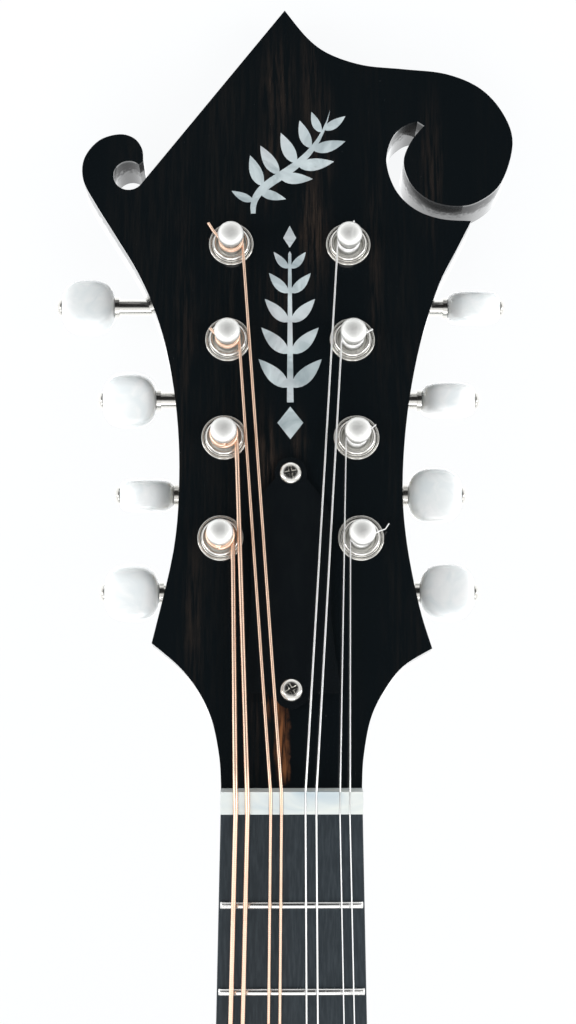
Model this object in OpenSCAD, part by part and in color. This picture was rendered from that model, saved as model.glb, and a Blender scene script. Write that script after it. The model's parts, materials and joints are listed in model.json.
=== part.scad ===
// Eight-string scroll-body mandolin with geared tuners, all sizes in millimetres.
// Origin: strap-button axis at the tail end. +Y runs toward the headstock, +X is the treble side,
// +Z points out of the soundboard.

/* [Scale and neck] */
// Vibrating string length from nut to bridge
scale_length = 352.4; // [340:0.1:360]
// Fall of the neck behind the body plane, degrees
neck_angle = 5.5; // [3:0.5:7]
// Backward tilt of the headstock, degrees
head_angle = 15; // [10:0.5:18]
// Distance from the tail end to the bridge
bridge_y = 152; // [140:1:165]
// Height of the fingerboard plane above the bridge feet line
board_z_at_bridge = 53; // [48:0.5:56]
// Width of the nut
nut_width = 30.3; // [28:0.1:33]
// Length of the nut along the neck
nut_depth = 4.8; // [3.5:0.1:6]
// Nut top above the fingerboard
nut_rise = 1.7; // [1.2:0.1:2.5]
// Drop from the fingerboard plane to the headstock face at the nut
face_drop = 2.5; // [1.5:0.1:4]
// Number of frets
fret_count = 24; // [20:1:29]
// Width of a fret crown
fret_width = 1.65; // [1.2:0.05:2.5]
// Thickness of the fingerboard
board_thick = 5.5; // [4:0.5:7]

/* [Body] */
// Height of the ribs
rib_height = 42; // [36:1:46]
// Thickness of the ribs
rib_thick = 2.5; // [2:0.1:3]
// Thickness of the plates at the rim
plate_thick = 4.5; // [3:0.1:6]
// Rise of the soundboard arch
top_arch = 14; // [10:0.5:18]
// Rise of the back arch
back_arch = 12; // [8:0.5:16]
// Radius of the arched field
arch_radius = 112; // [100:1:118]
// Distance from the tail end to the centre of the arch
arch_y = 128; // [120:1:136]
// Width of the edge binding
binding_width = 1.6; // [1:0.1:2.5]
// Width of the linings inside the ribs
lining_width = 5; // [4:0.5:8]
// Height of the linings
lining_height = 7; // [5:0.5:10]

/* [Headstock] */
// Thickness of the headplate veneer
veneer_thick = 2; // [1:0.1:3]
// Thickness of the headstock with its veneer
head_thick = 12.6; // [11:0.1:15]
// Depth of the pearl inlay
inlay_depth = 0.6; // [0.3:0.1:1]
// Thickness of the truss-rod cover
cover_thick = 1.2; // [0.8:0.1:2]
// Radius of the truss rod
rod_r = 2.2; // [2:0.1:3]
// Depth of the truss-rod axis below the fingerboard plane
rod_depth = 9.6; // [9:0.1:10]

/* [Tuners] */
// Distance between tuner posts along the headstock
post_pitch = 23.02; // [22:0.01:24]
// Distance from the nut to the nearest pair of posts
first_post = 54.7; // [50:0.1:60]
// Half distance between the pair of posts farthest from the nut
post_half = 13.45; // [12:0.05:16]
// Extra half distance for each row nearer the nut
post_spread = 0.69; // [0:0.01:1.5]
// Radius of the post shaft
post_r = 2.45; // [2:0.05:3]
// Radius of the post cap
cap_r = 2.95; // [2.5:0.05:3.5]
// Radius of the bushing flange
flange_r = 5.15; // [4:0.05:6]
// Distance between post axis and worm axis
gear_distance = 9.08; // [8:0.01:10]
// Worm axis behind the headstock face
worm_depth = 17.6; // [17:0.1:19]
// Teeth on each gear
gear_teeth = 18; // [14:1:20]
// Gear module
gear_module = 0.72; // [0.6:0.01:0.8]
// Thickness of each gear
gear_thick = 3.6; // [2:0.1:4]
// Width and length of a knob
knob_size = 12.4; // [10:0.1:14]
// Thickness of a knob
knob_thick = 6.9; // [5:0.1:9]
// Distance from the centreline to each bass knob, farthest from the nut first
knob_x_bass = [47.5, 37.3, 32.9, 36.0]; // [30:0.1:50]
// Distance from the centreline to each treble knob
knob_x_treble = [43.9, 37.3, 33.6, 35.9]; // [30:0.1:50]
// Rest turn of each bass knob about its shaft, degrees
knob_turn_bass = [-12, 27, 105, 23]; // [-180:1:180]
// Rest turn of each treble knob about its shaft, degrees
knob_turn_treble = [105, 99, 15, 0]; // [-180:1:180]
// Thickness of the tuner plates
tuner_plate = 1.2; // [0.8:0.1:2]

/* [Strings] */
// Diameters from the outer bass string to the outer treble string
gauge = [1.02, 1.02, 0.66, 0.66, 0.41, 0.41, 0.28, 0.28]; // [0.2:0.01:1.2]
// String places across the nut
nut_x = [-11.9, -9.4, -4.5, -2.2, 2.9, 5.2, 10.2, 12.3]; // [-15:0.1:15]
// String places across the bridge
bridge_x = [-20.4, -17.4, -7.9, -4.9, 4.9, 7.9, 17.4, 20.4]; // [-25:0.1:25]
// Turns round the post, from the outer bass string to the outer treble string
wraps = [1.75, 1.75, 2.5, 2.5, 3.5, 3.5, 4.5, 4.5]; // [1:0.25:6]

/* [Bridge] */
// Length of the bridge across the body
bridge_length = 112; // [100:1:125]
// How far the saddle can be let down
saddle_drop = 1.2; // [0.5:0.1:2]
// Thread pitch of the saddle studs
stud_pitch = 0.7; // [0.5:0.05:1]
// Half distance between the saddle studs
stud_x = 30; // [26:0.5:36]
// Radius of the thumbwheels
wheel_r = 6; // [5:0.1:8]

/* [Hidden] */
eps = 0.01;
fit = 0.06;
gap = 0.3;
half_rib = rib_height / 2;
nut_y = bridge_y + scale_length * cos(neck_angle);
nut_z = board_z_at_bridge - scale_length * sin(neck_angle);
worm_pitch = PI * gear_module;
gear_r = gear_teeth * gear_module / 2;
gear_tip = gear_r + 0.8 * gear_module;
worm_tip = gear_distance - gear_r + gear_module;
worm_root = gear_distance - gear_tip - 0.25;
worm_len = 3.2 * worm_pitch;
lead = atan(worm_pitch / (2 * PI * (gear_distance - gear_r)));
worm_sides = 16;
worm_rows = 17;
thread_at = [-0.11, 0.31, 0.49, 0.71];
inner_shaft_r = 1.5;
outer_shaft_r = 1.9;
collar_r = 2.45;
collar_h = 1;
lug_in = worm_len / 2 + 0.4;
lug_w = 2.2;
coil_low = 1.65;
waist_r = 1.95;
rod_nut_r = 2.6;
bush_bore_r = 4.1;
screw_hole_r = 1.05;
cover_screw_u = [20.9, 69.3];
plate_screw_spots = [
    [3.4, 38], [17.4, 38], [3.4, 62.7], [3.4, 85.7],
    [3.4, 108.7], [3.4, 131], [17.4, 131]
];
string_side = [-1, -1, -1, -1, 1, 1, 1, 1];
string_row = [3, 2, 1, 0, 0, 1, 2, 3];
tail_z = half_rib + plate_thick + 3;
tail_hole_r = 3.5;
stud_r = 1.5;
stud_low = 38.8;
saddle_top = board_z_at_bridge + 2.6;
wheel_top = saddle_top - 10;
wheel_h = 1.6;
base_depth = 7;
saddle_depth = 6;
base_top = wheel_top - wheel_h - saddle_drop - 0.7;
arch_steps = 18;
neck_steps = [for (i = [0 : 16]) -196 + 12.4 * i];
tuners = [0, 1, 2, 3];
$fn = 48;

// ---- curves ------------------------------------------------------------------------------

// Catmull-Rom curve through the given points, n samples on each span.
function through(p, n) = [
    for (i = [0 : len(p) - 2], k = [0 : n - 1])
        let (a = p[max(i - 1, 0)], b = p[i], c = p[i + 1], d = p[min(i + 2, len(p) - 1)], t = k / n)
        0.5 * (2 * b + (c - a) * t + (2 * a - 5 * b + 4 * c - d) * t * t
            + (3 * b - a - 3 * c + d) * t * t * t)
];

// Cubic Bezier point.
function bezier(p, t) =
    pow(1 - t, 3) * p[0] + 3 * t * pow(1 - t, 2) * p[1] + 3 * t * t * (1 - t) * p[2]
    + pow(t, 3) * p[3];

// Circular arc from angle a to angle b.
function arc(c, r, a, b, n) = [
    for (i = [0 : n])
        let (t = a + (b - a) * i / n)
        c + r * [cos(t), sin(t)]
];

function unit(v) = v / norm(v);

// Distance from point q to the segment from a to b.
function segment_distance(q, a, b) =
    let (t = max(0, min(1, (q - a) * (b - a) / ((b - a) * (b - a)))))
    norm(q - a - t * (b - a));

// Closed counter-clockwise outline moved inward by d; points that crowd a corner are left out.
function inset(p, d) = [
    for (i = [0 : len(p) - 1])
        let (
            t = unit(p[(i + 1) % len(p)] - p[(i + len(p) - 1) % len(p)]),
            q = p[i] + d * [-t.y, t.x],
            near = min([for (k = [0 : len(p) - 1]) segment_distance(q, p[k], p[(k + 1) % len(p)])])
        )
        if (near > 0.93 * d) q
];

// Band of changing width along a Bezier stem: root width a, middle width b, tip closed to a point.
function stem(p, a, b, n) =
    let (
        c = [for (i = [0 : n]) bezier(p, i / n)],
        h = [for (i = [0 : n]) let (t = i / n) (a * (1 - t) + b * sin(180 * t)) / 2]
    )
    concat(
        [for (i = [0 : n - 1]) let (t = unit(c[i + 1] - c[i])) c[i] + h[i] * [-t.y, t.x]],
        [c[n]],
        [for (i = [n - 1 : -1 : 0]) let (t = unit(c[i + 1] - c[i])) c[i] - h[i] * [-t.y, t.x]]
    );

// Pointed leaf from the origin along +X, length l and width w, tip bent by k.
function leaf(l, w, k) = concat(
    [for (i = [0 : 9]) leaf_point(i / 9, l, w, k)],
    [for (i = [8 : -1 : 1]) leaf_point(i / 9, l, -w, k)]
);

// Edge of a leaf at the share t of its length.
function leaf_point(t, l, w, k) =
    [l * t, k * t * t + w / 2 * pow(sin(180 * pow(t, 0.8)), 0.9)];

// Rounded rectangle outline centred on the origin.
function rounded(w, h, r) = [
    for (q = [0 : 3], i = [0 : 4])
        let (a = 90 * q + 22.5 * i, sx = (q == 0 || q == 3) ? 1 : -1, sy = q < 2 ? 1 : -1)
        [sx * (w / 2 - r) + r * cos(a), sy * (h / 2 - r) + r * sin(a)]
];

// ---- outlines -------------------------------------------------------------------------------

// Headstock face, counter-clockwise from the nut, u measured from the back of the nut.
head_outline = concat(
    through([[15.1, 0], [15.5, 6.5], [17.1, 14.6], [20, 20.6], [24.3, 26.1], [30.8, 30.1]], 6),
    through([[30.8, 30.1], [28.2, 39.3], [25.7, 53.6], [25, 67], [26.4, 83.6], [29.6, 100],
        [34, 113.7], [38.2, 122.2], [42, 129.7]], 5),
    through([[42, 129.7], [35, 130.2], [29, 132.6], [24.6, 137.4], [22.6, 144.3], [24, 150.3],
        [27.2, 153.6], [30.4, 154.6]], 6),
    through([[31.6, 153.5], [28.4, 149.4], [26.6, 144.2], [28.4, 138.6], [32.6, 134.8], [38.2, 133.4],
        [43.6, 134.4], [49.2, 139.2], [52.2, 149], [50.2, 156.6], [45, 163], [37, 166.7],
        [27, 167.9], [17.5, 168.9], [9.6, 171.7], [4.4, 175.8], [-1, 183]], 6),
    [[-1, 183]],
    arc([-37.3, 140.8], 3.6, -37, -310, 28),
    through([[-34, 144.4], [-34.3, 147.4], [-36.2, 150.1], [-39.7, 151.1], [-44.4, 149.5],
        [-47.7, 145], [-47.8, 139.6], [-45, 134], [-40, 125.7], [-35, 117.3], [-31, 108.3],
        [-27.8, 97.5], [-25.5, 83.3], [-24.8, 68], [-25.9, 51.8], [-30.4, 31.3]], 5),
    through([[-30.4, 31.3], [-24.3, 26.1], [-20, 20.6], [-17.1, 14.3], [-15.5, 6.5], [-15.1, 0]], 6),
    [[-15.1, 0]]
);

// Body seen from the front, counter-clockwise from the tail.
body_outline = concat(
    through([[0, 0], [38, 4], [78, 22], [108, 56], [122, 98], [121, 134], [124, 166]], 6),
    through([[124, 166], [102, 182], [88, 206], [83, 234], [88, 268]], 6),
    through([[88, 268], [66, 270], [46, 278], [32, 290], [24, 304]], 6),
    [[24, 304]],
    through([[-24, 304], [-27, 291], [-36, 282], [-48, 281], [-57, 288], [-60, 299], [-55, 309]], 6),
    through([[-55, 309], [-46, 314], [-39, 324], [-42, 340], [-56, 351], [-76, 352], [-93, 340],
        [-101, 320], [-101, 298], [-95, 272], [-90, 246], [-92, 222], [-104, 196], [-118, 166],
        [-125, 132], [-122, 98], [-108, 56], [-78, 22], [-38, 4], [0, 0]], 6)
);

plate_outline = inset(body_outline, binding_width);
rib_inner = inset(body_outline, rib_thick);
lower_outline = [for (p = body_outline) if (p.y < 250) p];
lining_outer = inset(lower_outline, rib_thick);
lining_inner = inset(lower_outline, rib_thick + lining_width);

// ---- frames and small helpers ---------------------------------------------------------------

module neck_frame() {
    translate([0, nut_y, nut_z])
        rotate([-neck_angle, 0, 0])
            children();
}

module head_frame() {
    neck_frame()
        translate([0, nut_depth, -face_drop])
            rotate([-head_angle, 0, 0])
                children();
}

function head_to_neck(p) = [
    p.x,
    nut_depth + p.y * cos(head_angle) + p.z * sin(head_angle),
    -face_drop - p.y * sin(head_angle) + p.z * cos(head_angle)
];

function body_to_neck(p) = [
    p.x,
    (p.y - nut_y) * cos(neck_angle) - (p.z - nut_z) * sin(neck_angle),
    (p.y - nut_y) * sin(neck_angle) + (p.z - nut_z) * cos(neck_angle)
];

// Row 0 is farthest from the nut; side is -1 for bass and 1 for treble.
function post_at(side, row) = [side * (post_half + post_spread * row), first_post + (3 - row) * post_pitch];

function knob_x(side, row) = side < 0 ? knob_x_bass[row] : knob_x_treble[row];

function knob_turn(side, row) = side < 0 ? knob_turn_bass[row] : knob_turn_treble[row];

// Places its children at a post, mirrored on the bass side so that +X always points outward.
module at_post(side, row) {
    p = post_at(side, row);
    head_frame()
        translate([p.x, p.y, 0])
            mirror([side < 0 ? 1 : 0, 0, 0])
                children();
}

module all_posts() {
    for (side = [-1, 1], row = tuners)
        at_post(side, row)
            children();
}

function half_width(y) = nut_width / 2 - 0.022 * y;

function fret_y(n) = -scale_length * (1 - pow(2, -n / 12));

// ---- body -----------------------------------------------------------------------------------

function arch(r, rise) = rise / 2 * (1 + cos(180 * pow(r / arch_radius, 1.2)));

// Arched field as a turned shell: outer curve, then inner curve, z measured from the rim.
module arched_field(rise) {
    rotate_extrude($fn = 96)
        polygon(concat(
            [for (i = [0 : arch_steps])
                let (r = arch_radius * i / arch_steps)
                [r, plate_thick + arch(r, rise)]],
            [for (i = [arch_steps : -1 : 0])
                let (r = arch_radius * i / arch_steps)
                [r, arch(r, rise)]]
        ));
}

module plate(rise) {
    difference() {
        linear_extrude(plate_thick)
            polygon(plate_outline);
        translate([0, arch_y, -1])
            cylinder(r = arch_radius, h = plate_thick + 2, $fn = 96);
    }
    translate([0, arch_y, 0])
        arched_field(rise);
}

// Sound hole of one side: two round eyes joined by a swelling curved slot.
module sound_hole() {
    linear_extrude(40) {
        translate([48, 176])
            circle(r = 4.2);
        translate([76, 104])
            circle(r = 5.2);
        hole_slot();
    }
}

module hole_slot() {
    c = [[46, 180], [78, 186], [48, 96], [80, 100]];
    n = 20;
    w = [for (i = [0 : n]) 1.3 + 2 * pow(sin(180 * i / n), 2)];
    polygon(concat(
        [for (i = [0 : n]) let (t = slot_dir(c, i / n)) bezier(c, i / n) + w[i] * [-t.y, t.x]],
        [for (i = [n : -1 : 0]) let (t = slot_dir(c, i / n)) bezier(c, i / n) - w[i] * [-t.y, t.x]]
    ));
}

function slot_dir(c, t) = unit(bezier(c, min(t + 0.01, 1)) - bezier(c, max(t - 0.01, 0)));

module soundboard() {
    color("#a8602a")
        difference() {
            translate([0, 0, half_rib])
                plate(top_arch);
            for (side = [0, 1])
                mirror([side, 0, 0])
                    translate([0, 0, half_rib - 1])
                        sound_hole();
            neck_pocket();
        }
}

module back_plate() {
    color("#8a4a20")
        mirror([0, 0, 1])
            translate([0, 0, half_rib])
                plate(back_arch);
}

module ribs() {
    color("#8a4a20")
        difference() {
            translate([0, 0, -half_rib])
                linear_extrude(rib_height)
                    polygon(body_outline);
            translate([0, 0, -half_rib - 1])
                linear_extrude(rib_height + 2)
                    polygon(rib_inner);
            neck_pocket();
            rotate([-90, 0, 0])
                translate([0, 0, -1])
                    cylinder(r = tail_hole_r, h = 20);
        }
}

module linings() {
    color("#c9a06a")
        for (up = [0, 1])
            mirror([0, 0, up])
                translate([0, 0, half_rib - lining_height])
                    difference() {
                        linear_extrude(lining_height)
                            polygon(lining_outer);
                        translate([0, 0, -1])
                            linear_extrude(lining_height + 2)
                                polygon(lining_inner);
                        block_zones(lining_height + 2);
                    }
}

// Places where the solid blocks stand, cut out of the linings.
module block_zones(h) {
    translate([-150, 236, -1])
        cube([300, 150, h]);
    translate([-36, -10, -1])
        cube([72, 34, h]);
    translate([116, 160, -1])
        cylinder(r = 16, h = h);
}

module blocks() {
    color("#b5834d")
        difference() {
            intersection() {
                translate([0, 0, -half_rib])
                    linear_extrude(rib_height)
                        polygon(rib_inner);
                translate([0, 0, -half_rib + 1])
                    block_zones(rib_height);
            }
            neck_pocket();
            rotate([-90, 0, 0])
                cylinder(r = tail_hole_r, h = 50);
            translate([0, 0, -half_rib - 1])
                linear_extrude(rib_height + 2)
                    polygon(through([[-60, 230], [-64, 246], [-46, 258], [0, 262], [46, 258], [64, 246],
                        [60, 230]], 5));
        }
}

module bindings() {
    color("#efe6cf")
        for (up = [0, 1])
            mirror([0, 0, up])
                translate([0, 0, half_rib])
                    difference() {
                        linear_extrude(plate_thick)
                            polygon(body_outline);
                        translate([0, 0, -1])
                            linear_extrude(plate_thick + 2)
                                polygon(plate_outline);
                        translate([-24, 290, -1])
                            cube([48, 30, plate_thick + 2]);
                    }
}

// Mortise in the head block, ribs and soundboard that takes the heel of the neck.
module neck_pocket() {
    translate([0, 0, -half_rib - 1])
        linear_extrude(rib_height + plate_thick + 2)
            polygon([[-15, 276], [15, 276], [20, 310], [-20, 310]]);
}

// ---- neck and headstock ---------------------------------------------------------------------

function neck_depth_at(y) = 14 - 0.022 * y + 38 * pow(max(0, (-y - 150) / 46), 2);

// Cross-section of the neck at distance y from the nut: flat top, half-oval back.
function neck_ring(y) = [
    for (k = [0 : 12])
        let (a = 180 * k / 12 - 180, w = half_width(y) - 0.4)
        [w * cos(a), y, -board_thick + (neck_depth_at(y) - board_thick) * sin(a)]
];

module loft(rings) {
    n = len(rings[0]);
    m = len(rings);
    polyhedron(
        points = [for (r = rings, p = r) p],
        faces = concat(
            [[for (k = [n - 1 : -1 : 0]) k]],
            [[for (k = [0 : n - 1]) (m - 1) * n + k]],
            [for (j = [0 : m - 2], k = [0 : n - 1])
                [j * n + k, j * n + (k + 1) % n, (j + 1) * n + (k + 1) % n]],
            [for (j = [0 : m - 2], k = [0 : n - 1])
                [j * n + k, (j + 1) * n + (k + 1) % n, (j + 1) * n + k]]
        )
    );
}

module heel() {
    difference() {
        translate([0, 0, -half_rib])
            linear_extrude(rib_height + 24)
                polygon([[-14.95, 276.1], [14.95, 276.1], [19.9, 309.9], [-19.9, 309.9]]);
        neck_frame()
            translate([-30, -260, -board_thick])
                cube([60, 90, 60]);
    }
}

module head_core() {
    head_frame()
        translate([0, 0, -head_thick])
            linear_extrude(head_thick - veneer_thick)
                polygon(head_outline);
}

module neck() {
    color("#7d3f1a")
        difference() {
            union() {
                neck_frame()
                    loft([for (y = neck_steps) neck_ring(y)]);
                heel();
                head_core();
            }
            all_posts()
                translate([0, 0, -head_thick - 1])
                    cylinder(r = bush_bore_r, h = head_thick + 2);
            truss_channel();
            rod_pocket();
            nut_seat();
            plate_screw_holes();
        }
}

// Bore for the rod, with a wider mouth for its nut.
module truss_channel() {
    neck_frame()
        translate([0, -190, -rod_depth])
            rotate([-90, 0, 0]) {
                cylinder(r = rod_r + fit, h = 194);
                translate([0, 0, 192.5])
                    cylinder(r = rod_nut_r + 0.3, h = 12);
            }
}

// Pocket under the headplate and cover that lets a wrench reach the truss-rod nut.
module rod_pocket() {
    head_frame()
        translate([-5, 7, -8])
            cube([10, 47, 8 - veneer_thick + eps]);
}

// Seat of the nut, cut square through the front of the headstock.
module nut_seat() {
    neck_frame()
        translate([-nut_width, -eps, -board_thick])
            cube([2 * nut_width, nut_depth + eps, 3 * board_thick]);
}

module truss_rod() {
    color("#8d9094")
        neck_frame()
            translate([0, -188, -rod_depth])
                rotate([-90, 0, 0]) {
                    cylinder(r = rod_r, h = 192);
                    translate([0, 0, 191])
                        cylinder(r = rod_nut_r, h = 8, $fn = 6);
                }
}

module headplate() {
    color("#17181a")
        difference() {
            head_frame()
                translate([0, 0, -veneer_thick])
                    linear_extrude(veneer_thick)
                        polygon(head_outline);
            all_posts()
                translate([0, 0, -veneer_thick - 1])
                    cylinder(r = bush_bore_r, h = veneer_thick + 2);
            head_frame() {
                translate([-5, 22.6, -veneer_thick - 1])
                    cube([10, 40, veneer_thick + 2]);
                for (u = cover_screw_u)
                    translate([0, u, -veneer_thick - 1])
                        cylinder(r = screw_hole_r, h = veneer_thick + 2);
                translate([0, 0, -inlay_depth])
                    inlay_shapes();
            }
            nut_seat();
        }
}

// Own design: an upright sprig of paired leaves, and a free leafy branch above it.
module inlay_shapes() {
    linear_extrude(inlay_depth + eps) {
        sprig();
        branch();
    }
}

module head_inlay() {
    color("#b9c6ca")
        head_frame()
            translate([0, 0, -inlay_depth])
                inlay_shapes();
}

module placed_leaf(x, u, turn, l, w, k) {
    translate([x, u])
        rotate(turn)
            polygon(leaf(l, w, k));
}

// Straight tapering stalk with leaf pairs that shrink upward, a lozenge below and a bud on top.
module sprig() {
    polygon([[-0.75, 86], [0.75, 86], [0.35, 121.5], [0, 122.2], [-0.35, 121.5]]);
    polygon([[0, 77.4], [2.9, 81.2], [0, 85], [-2.9, 81.2]]);
    polygon([[0, 123], [1.5, 125.4], [0, 128.4], [-1.5, 125.4]]);
    for (s = [[89.5, 9.6], [97.5, 8.8], [105, 7.8], [112, 6.6], [118, 5.2]]) {
        placed_leaf(0.2, s[0], 38, s[1], s[1] * 0.36, 1);
        placed_leaf(-0.2, s[0], 142, s[1], s[1] * 0.36, -1);
    }
}

module branch() {
    polygon(stem([[-8.4, 131.4], [-9.5, 141.5], [5.5, 139], [9.6, 157.4]], 1.1, 1.5, 18));
    for (s = [[-8.3, 134.6, 165, 5.6], [-6.2, 138.2, 118, 8.2], [-2.4, 141.1, 128, 8.4],
            [1.6, 143.9, 122, 8.4], [5, 147.7, 118, 7.4], [7.5, 151.7, 124, 5.6]])
        placed_leaf(s[0], s[1], s[2], s[3], s[3] * 0.36, -1);
    for (s = [[-7.1, 137.2, -28, 6.6], [-2.6, 140.7, -12, 8], [1.8, 143.4, 0, 8.6],
            [5.3, 147.4, 8, 8], [7.9, 152.4, 24, 6.2]])
        placed_leaf(s[0], s[1], s[2], s[3], s[3] * 0.36, 1);
}

// Bell-shaped cover with a lobe round each screw.
cover_outline = concat(
    arc([0, 69.3], 3.6, -20, 200, 12),
    through([[-3.4, 68.1], [-6.2, 64.6], [-8.6, 59], [-8.7, 40], [-9.3, 31], [-10.8, 20.3]], 4),
    [[-10.8, 20.3]],
    through([[-5.4, 20.3], [-3.6, 19], [-2.2, 17.5], [0, 16.8], [2.2, 17.5], [3.6, 19], [5.4, 20.3]], 3),
    [[5.4, 20.3]],
    through([[10.8, 20.3], [9.3, 31], [8.7, 40], [8.6, 59], [6.2, 64.6], [3.4, 68.1]], 4)
);

module truss_rod_cover() {
    color("#101112")
        head_frame()
            difference() {
                translate([0, 0, 0.02])
                    linear_extrude(cover_thick)
                        polygon(cover_outline);
                for (u = cover_screw_u)
                    translate([0, u, -1])
                        cylinder(r = 1.1, h = cover_thick + 2);
            }
}

module oval_screw(head_r, head_h, shank_r, shank_l) {
    difference() {
        union() {
            translate([0, 0, -shank_l])
                cylinder(r = shank_r, h = shank_l + eps);
            intersection() {
                cylinder(r = head_r, h = head_h + 1);
                translate([0, 0, head_h - head_r * 1.6])
                    sphere(r = head_r * 1.6);
            }
        }
        for (a = [0, 90])
            rotate(a)
                translate([-head_r * 0.62, -head_r * 0.12, head_h * 0.3])
                    cube([head_r * 1.24, head_r * 0.24, head_h]);
    }
}

module cover_screws() {
    color("#c9ccd0")
        for (u = cover_screw_u)
            head_frame()
                translate([0, u, cover_thick + 0.02])
                    oval_screw(2.3, 1, 1, 3);
}

module fingerboard() {
    color("#23272b")
        neck_frame()
            translate([0, 0, -board_thick])
                linear_extrude(board_thick)
                    polygon([[half_width(0), 0], [-half_width(0), 0],
                        [-half_width(-236), -232], [-half_width(-244) + 5, -244],
                        [8, -268], [half_width(-268) - 3, -268], [half_width(-256), -258]]);
}

module frets() {
    color("#cfd2d4")
        for (n = [1 : fret_count])
            neck_frame()
                translate([-half_width(fret_y(n)) + 0.3, fret_y(n), 0])
                    rotate([90, 0, 90])
                        linear_extrude(2 * half_width(fret_y(n)) - 0.6)
                            difference() {
                                circle(r = fret_width / 2, $fn = 24);
                                translate([-2, -4])
                                    square([4, 4]);
                            }
}

module nut() {
    color("#dfe3e4")
        neck_frame()
            difference() {
                translate([-nut_width / 2, 0, -board_thick])
                    cube([nut_width, nut_depth, board_thick + nut_rise]);
                for (i = [0 : 7])
                    translate([nut_x[i], -1, string_z(i)])
                        rotate([-90, 0, 0])
                            cylinder(r = gauge[i] / 2 + 0.04, h = nut_depth + 2, $fn = 24);
                for (i = [0 : 7])
                    translate([nut_x[i] - gauge[i] / 2 - 0.04, -1, string_z(i)])
                        cube([gauge[i] + 0.08, nut_depth + 2, 3]);
            }
}

function string_z(i) = nut_rise - 0.35 + gauge[i] / 2;

// ---- tuners ---------------------------------------------------------------------------------

module tuner_bushings() {
    color("#c4c7ca")
        all_posts()
            rotate_extrude()
                polygon([[post_r + fit, -9], [4, -9], [4, 0.02], [flange_r, 0.02], [flange_r, 0.45],
                    [4.7, 0.8], [4.25, 0.85], [4.1, 1.25], [3.7, 1.45], [3.3, 1.25], [3.1, 0.2],
                    [post_r + fit, 0.1]]);
}

module plate_outline_2d() {
    translate([1.2, 34.5])
        square([18.4, 3 * post_pitch + 29.5]);
}

module plate_frame(side) {
    head_frame()
        mirror([side < 0 ? 1 : 0, 0, 0])
            translate([4.8, 0, -head_thick])
                children();
}

module plate_screw_holes() {
    for (side = [-1, 1], s = plate_screw_spots)
        plate_frame(side)
            translate([s.x, s.y, -5])
                cylinder(r = screw_hole_r, h = 10);
}

// Base plate with post holes and two bearing lugs for every worm shaft.
module tuner_plates() {
    color("#b9bcc0")
        for (side = [-1, 1])
            difference() {
                union() {
                    plate_frame(side)
                        translate([0, 0, -tuner_plate])
                            linear_extrude(tuner_plate)
                                plate_outline_2d();
                    for (row = tuners)
                        at_post(side, row)
                            lugs();
                }
                for (row = tuners)
                    at_post(side, row)
                        lug_bores();
                for (s = plate_screw_spots)
                    plate_frame(side)
                        translate([s.x, s.y, -5])
                            cylinder(r = screw_hole_r, h = 10);
            }
}

module lugs() {
    for (x = [-lug_in - lug_w, lug_in])
        translate([x, -gear_distance - 2.5, -worm_depth])
            cube([lug_w, 5, worm_depth - head_thick - tuner_plate / 2]);
    for (x = [-lug_in - lug_w, lug_in])
        translate([x, -gear_distance, -worm_depth])
            rotate([0, 90, 0])
                cylinder(r = 2.9, h = lug_w);
}

module lug_bores() {
    translate([0, 0, -head_thick - 4])
        cylinder(r = post_r + fit, h = 6);
    translate([-lug_in - lug_w - 1, -gear_distance, -worm_depth])
        rotate([0, 90, 0])
            cylinder(r = inner_shaft_r + fit, h = lug_w + 2);
    translate([lug_in - 1, -gear_distance, -worm_depth])
        rotate([0, 90, 0])
            cylinder(r = outer_shaft_r + fit, h = lug_w + 2);
}

module plate_screws() {
    color("#c9ccd0")
        for (side = [-1, 1], s = plate_screw_spots)
            plate_frame(side)
                translate([s.x, s.y, -tuner_plate - 0.02])
                    mirror([0, 0, 1])
                        oval_screw(1.7, 0.8, 1, 5);
}

module post(side, row) {
    color("#c2c4c6")
        at_post(side, row)
            difference() {
                union() {
                    rotate_extrude()
                        polygon([[0, -15.7], [post_r, -15.7], [post_r, 1.3], [waist_r, 1.5],
                            [waist_r, 4.9], [2.6, 5.4], [2.85, 5.8], [cap_r, 6.3], [cap_r, 6.8],
                            [2.75, 7.3], [2.3, 7.7], [1.5, 8], [0, 8.15]]);
                    translate([-1.6, -1.6, -19.6])
                        cube([3.2, 3.2, 4]);
                }
                translate([0, 0, 4.1])
                    rotate([90, 0, 35])
                        cylinder(r = 0.55, h = 8, center = true, $fn = 24);
                translate([0, 0, -20])
                    cylinder(r = 0.9, h = 4);
            }
}

// Gear with slanted tooth gaps and a square hole, and the screw that holds it on the post.
module gear(side, row) {
    color("#a98b4a")
        at_post(side, row) {
            difference() {
                translate([0, 0, -worm_depth - gear_thick / 2])
                    cylinder(r = gear_tip, h = gear_thick);
                translate([-1.65, -1.65, -21])
                    cube([3.3, 3.3, 6]);
                for (k = [0 : gear_teeth - 1])
                    translate([0, 0, -worm_depth])
                        rotate([0, 0, -90 + k * 360 / gear_teeth])
                            rotate([-lead, 0, 0])
                                tooth_gap();
            }
            translate([0, 0, -worm_depth - gear_thick / 2 - 0.3])
                mirror([0, 0, 1])
                    gear_screw();
        }
}

module gear_screw() {
    difference() {
        union() {
            translate([0, 0, -3])
                cylinder(r = 0.85, h = 3 + eps);
            cylinder(r1 = 2.6, r2 = 2.2, h = 1.1);
        }
        translate([-3, -0.35, 0.5])
            cube([6, 0.7, 1]);
    }
}

module tooth_gap() {
    root = gear_distance - worm_tip - 0.2;
    linear_extrude(2 * gear_thick, center = true)
        polygon([[root, -0.30 * worm_pitch / 2], [gear_tip + 0.4, -0.92 * worm_pitch / 2],
            [gear_tip + 0.4, 0.92 * worm_pitch / 2], [root, 0.30 * worm_pitch / 2]]);
}

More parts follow.
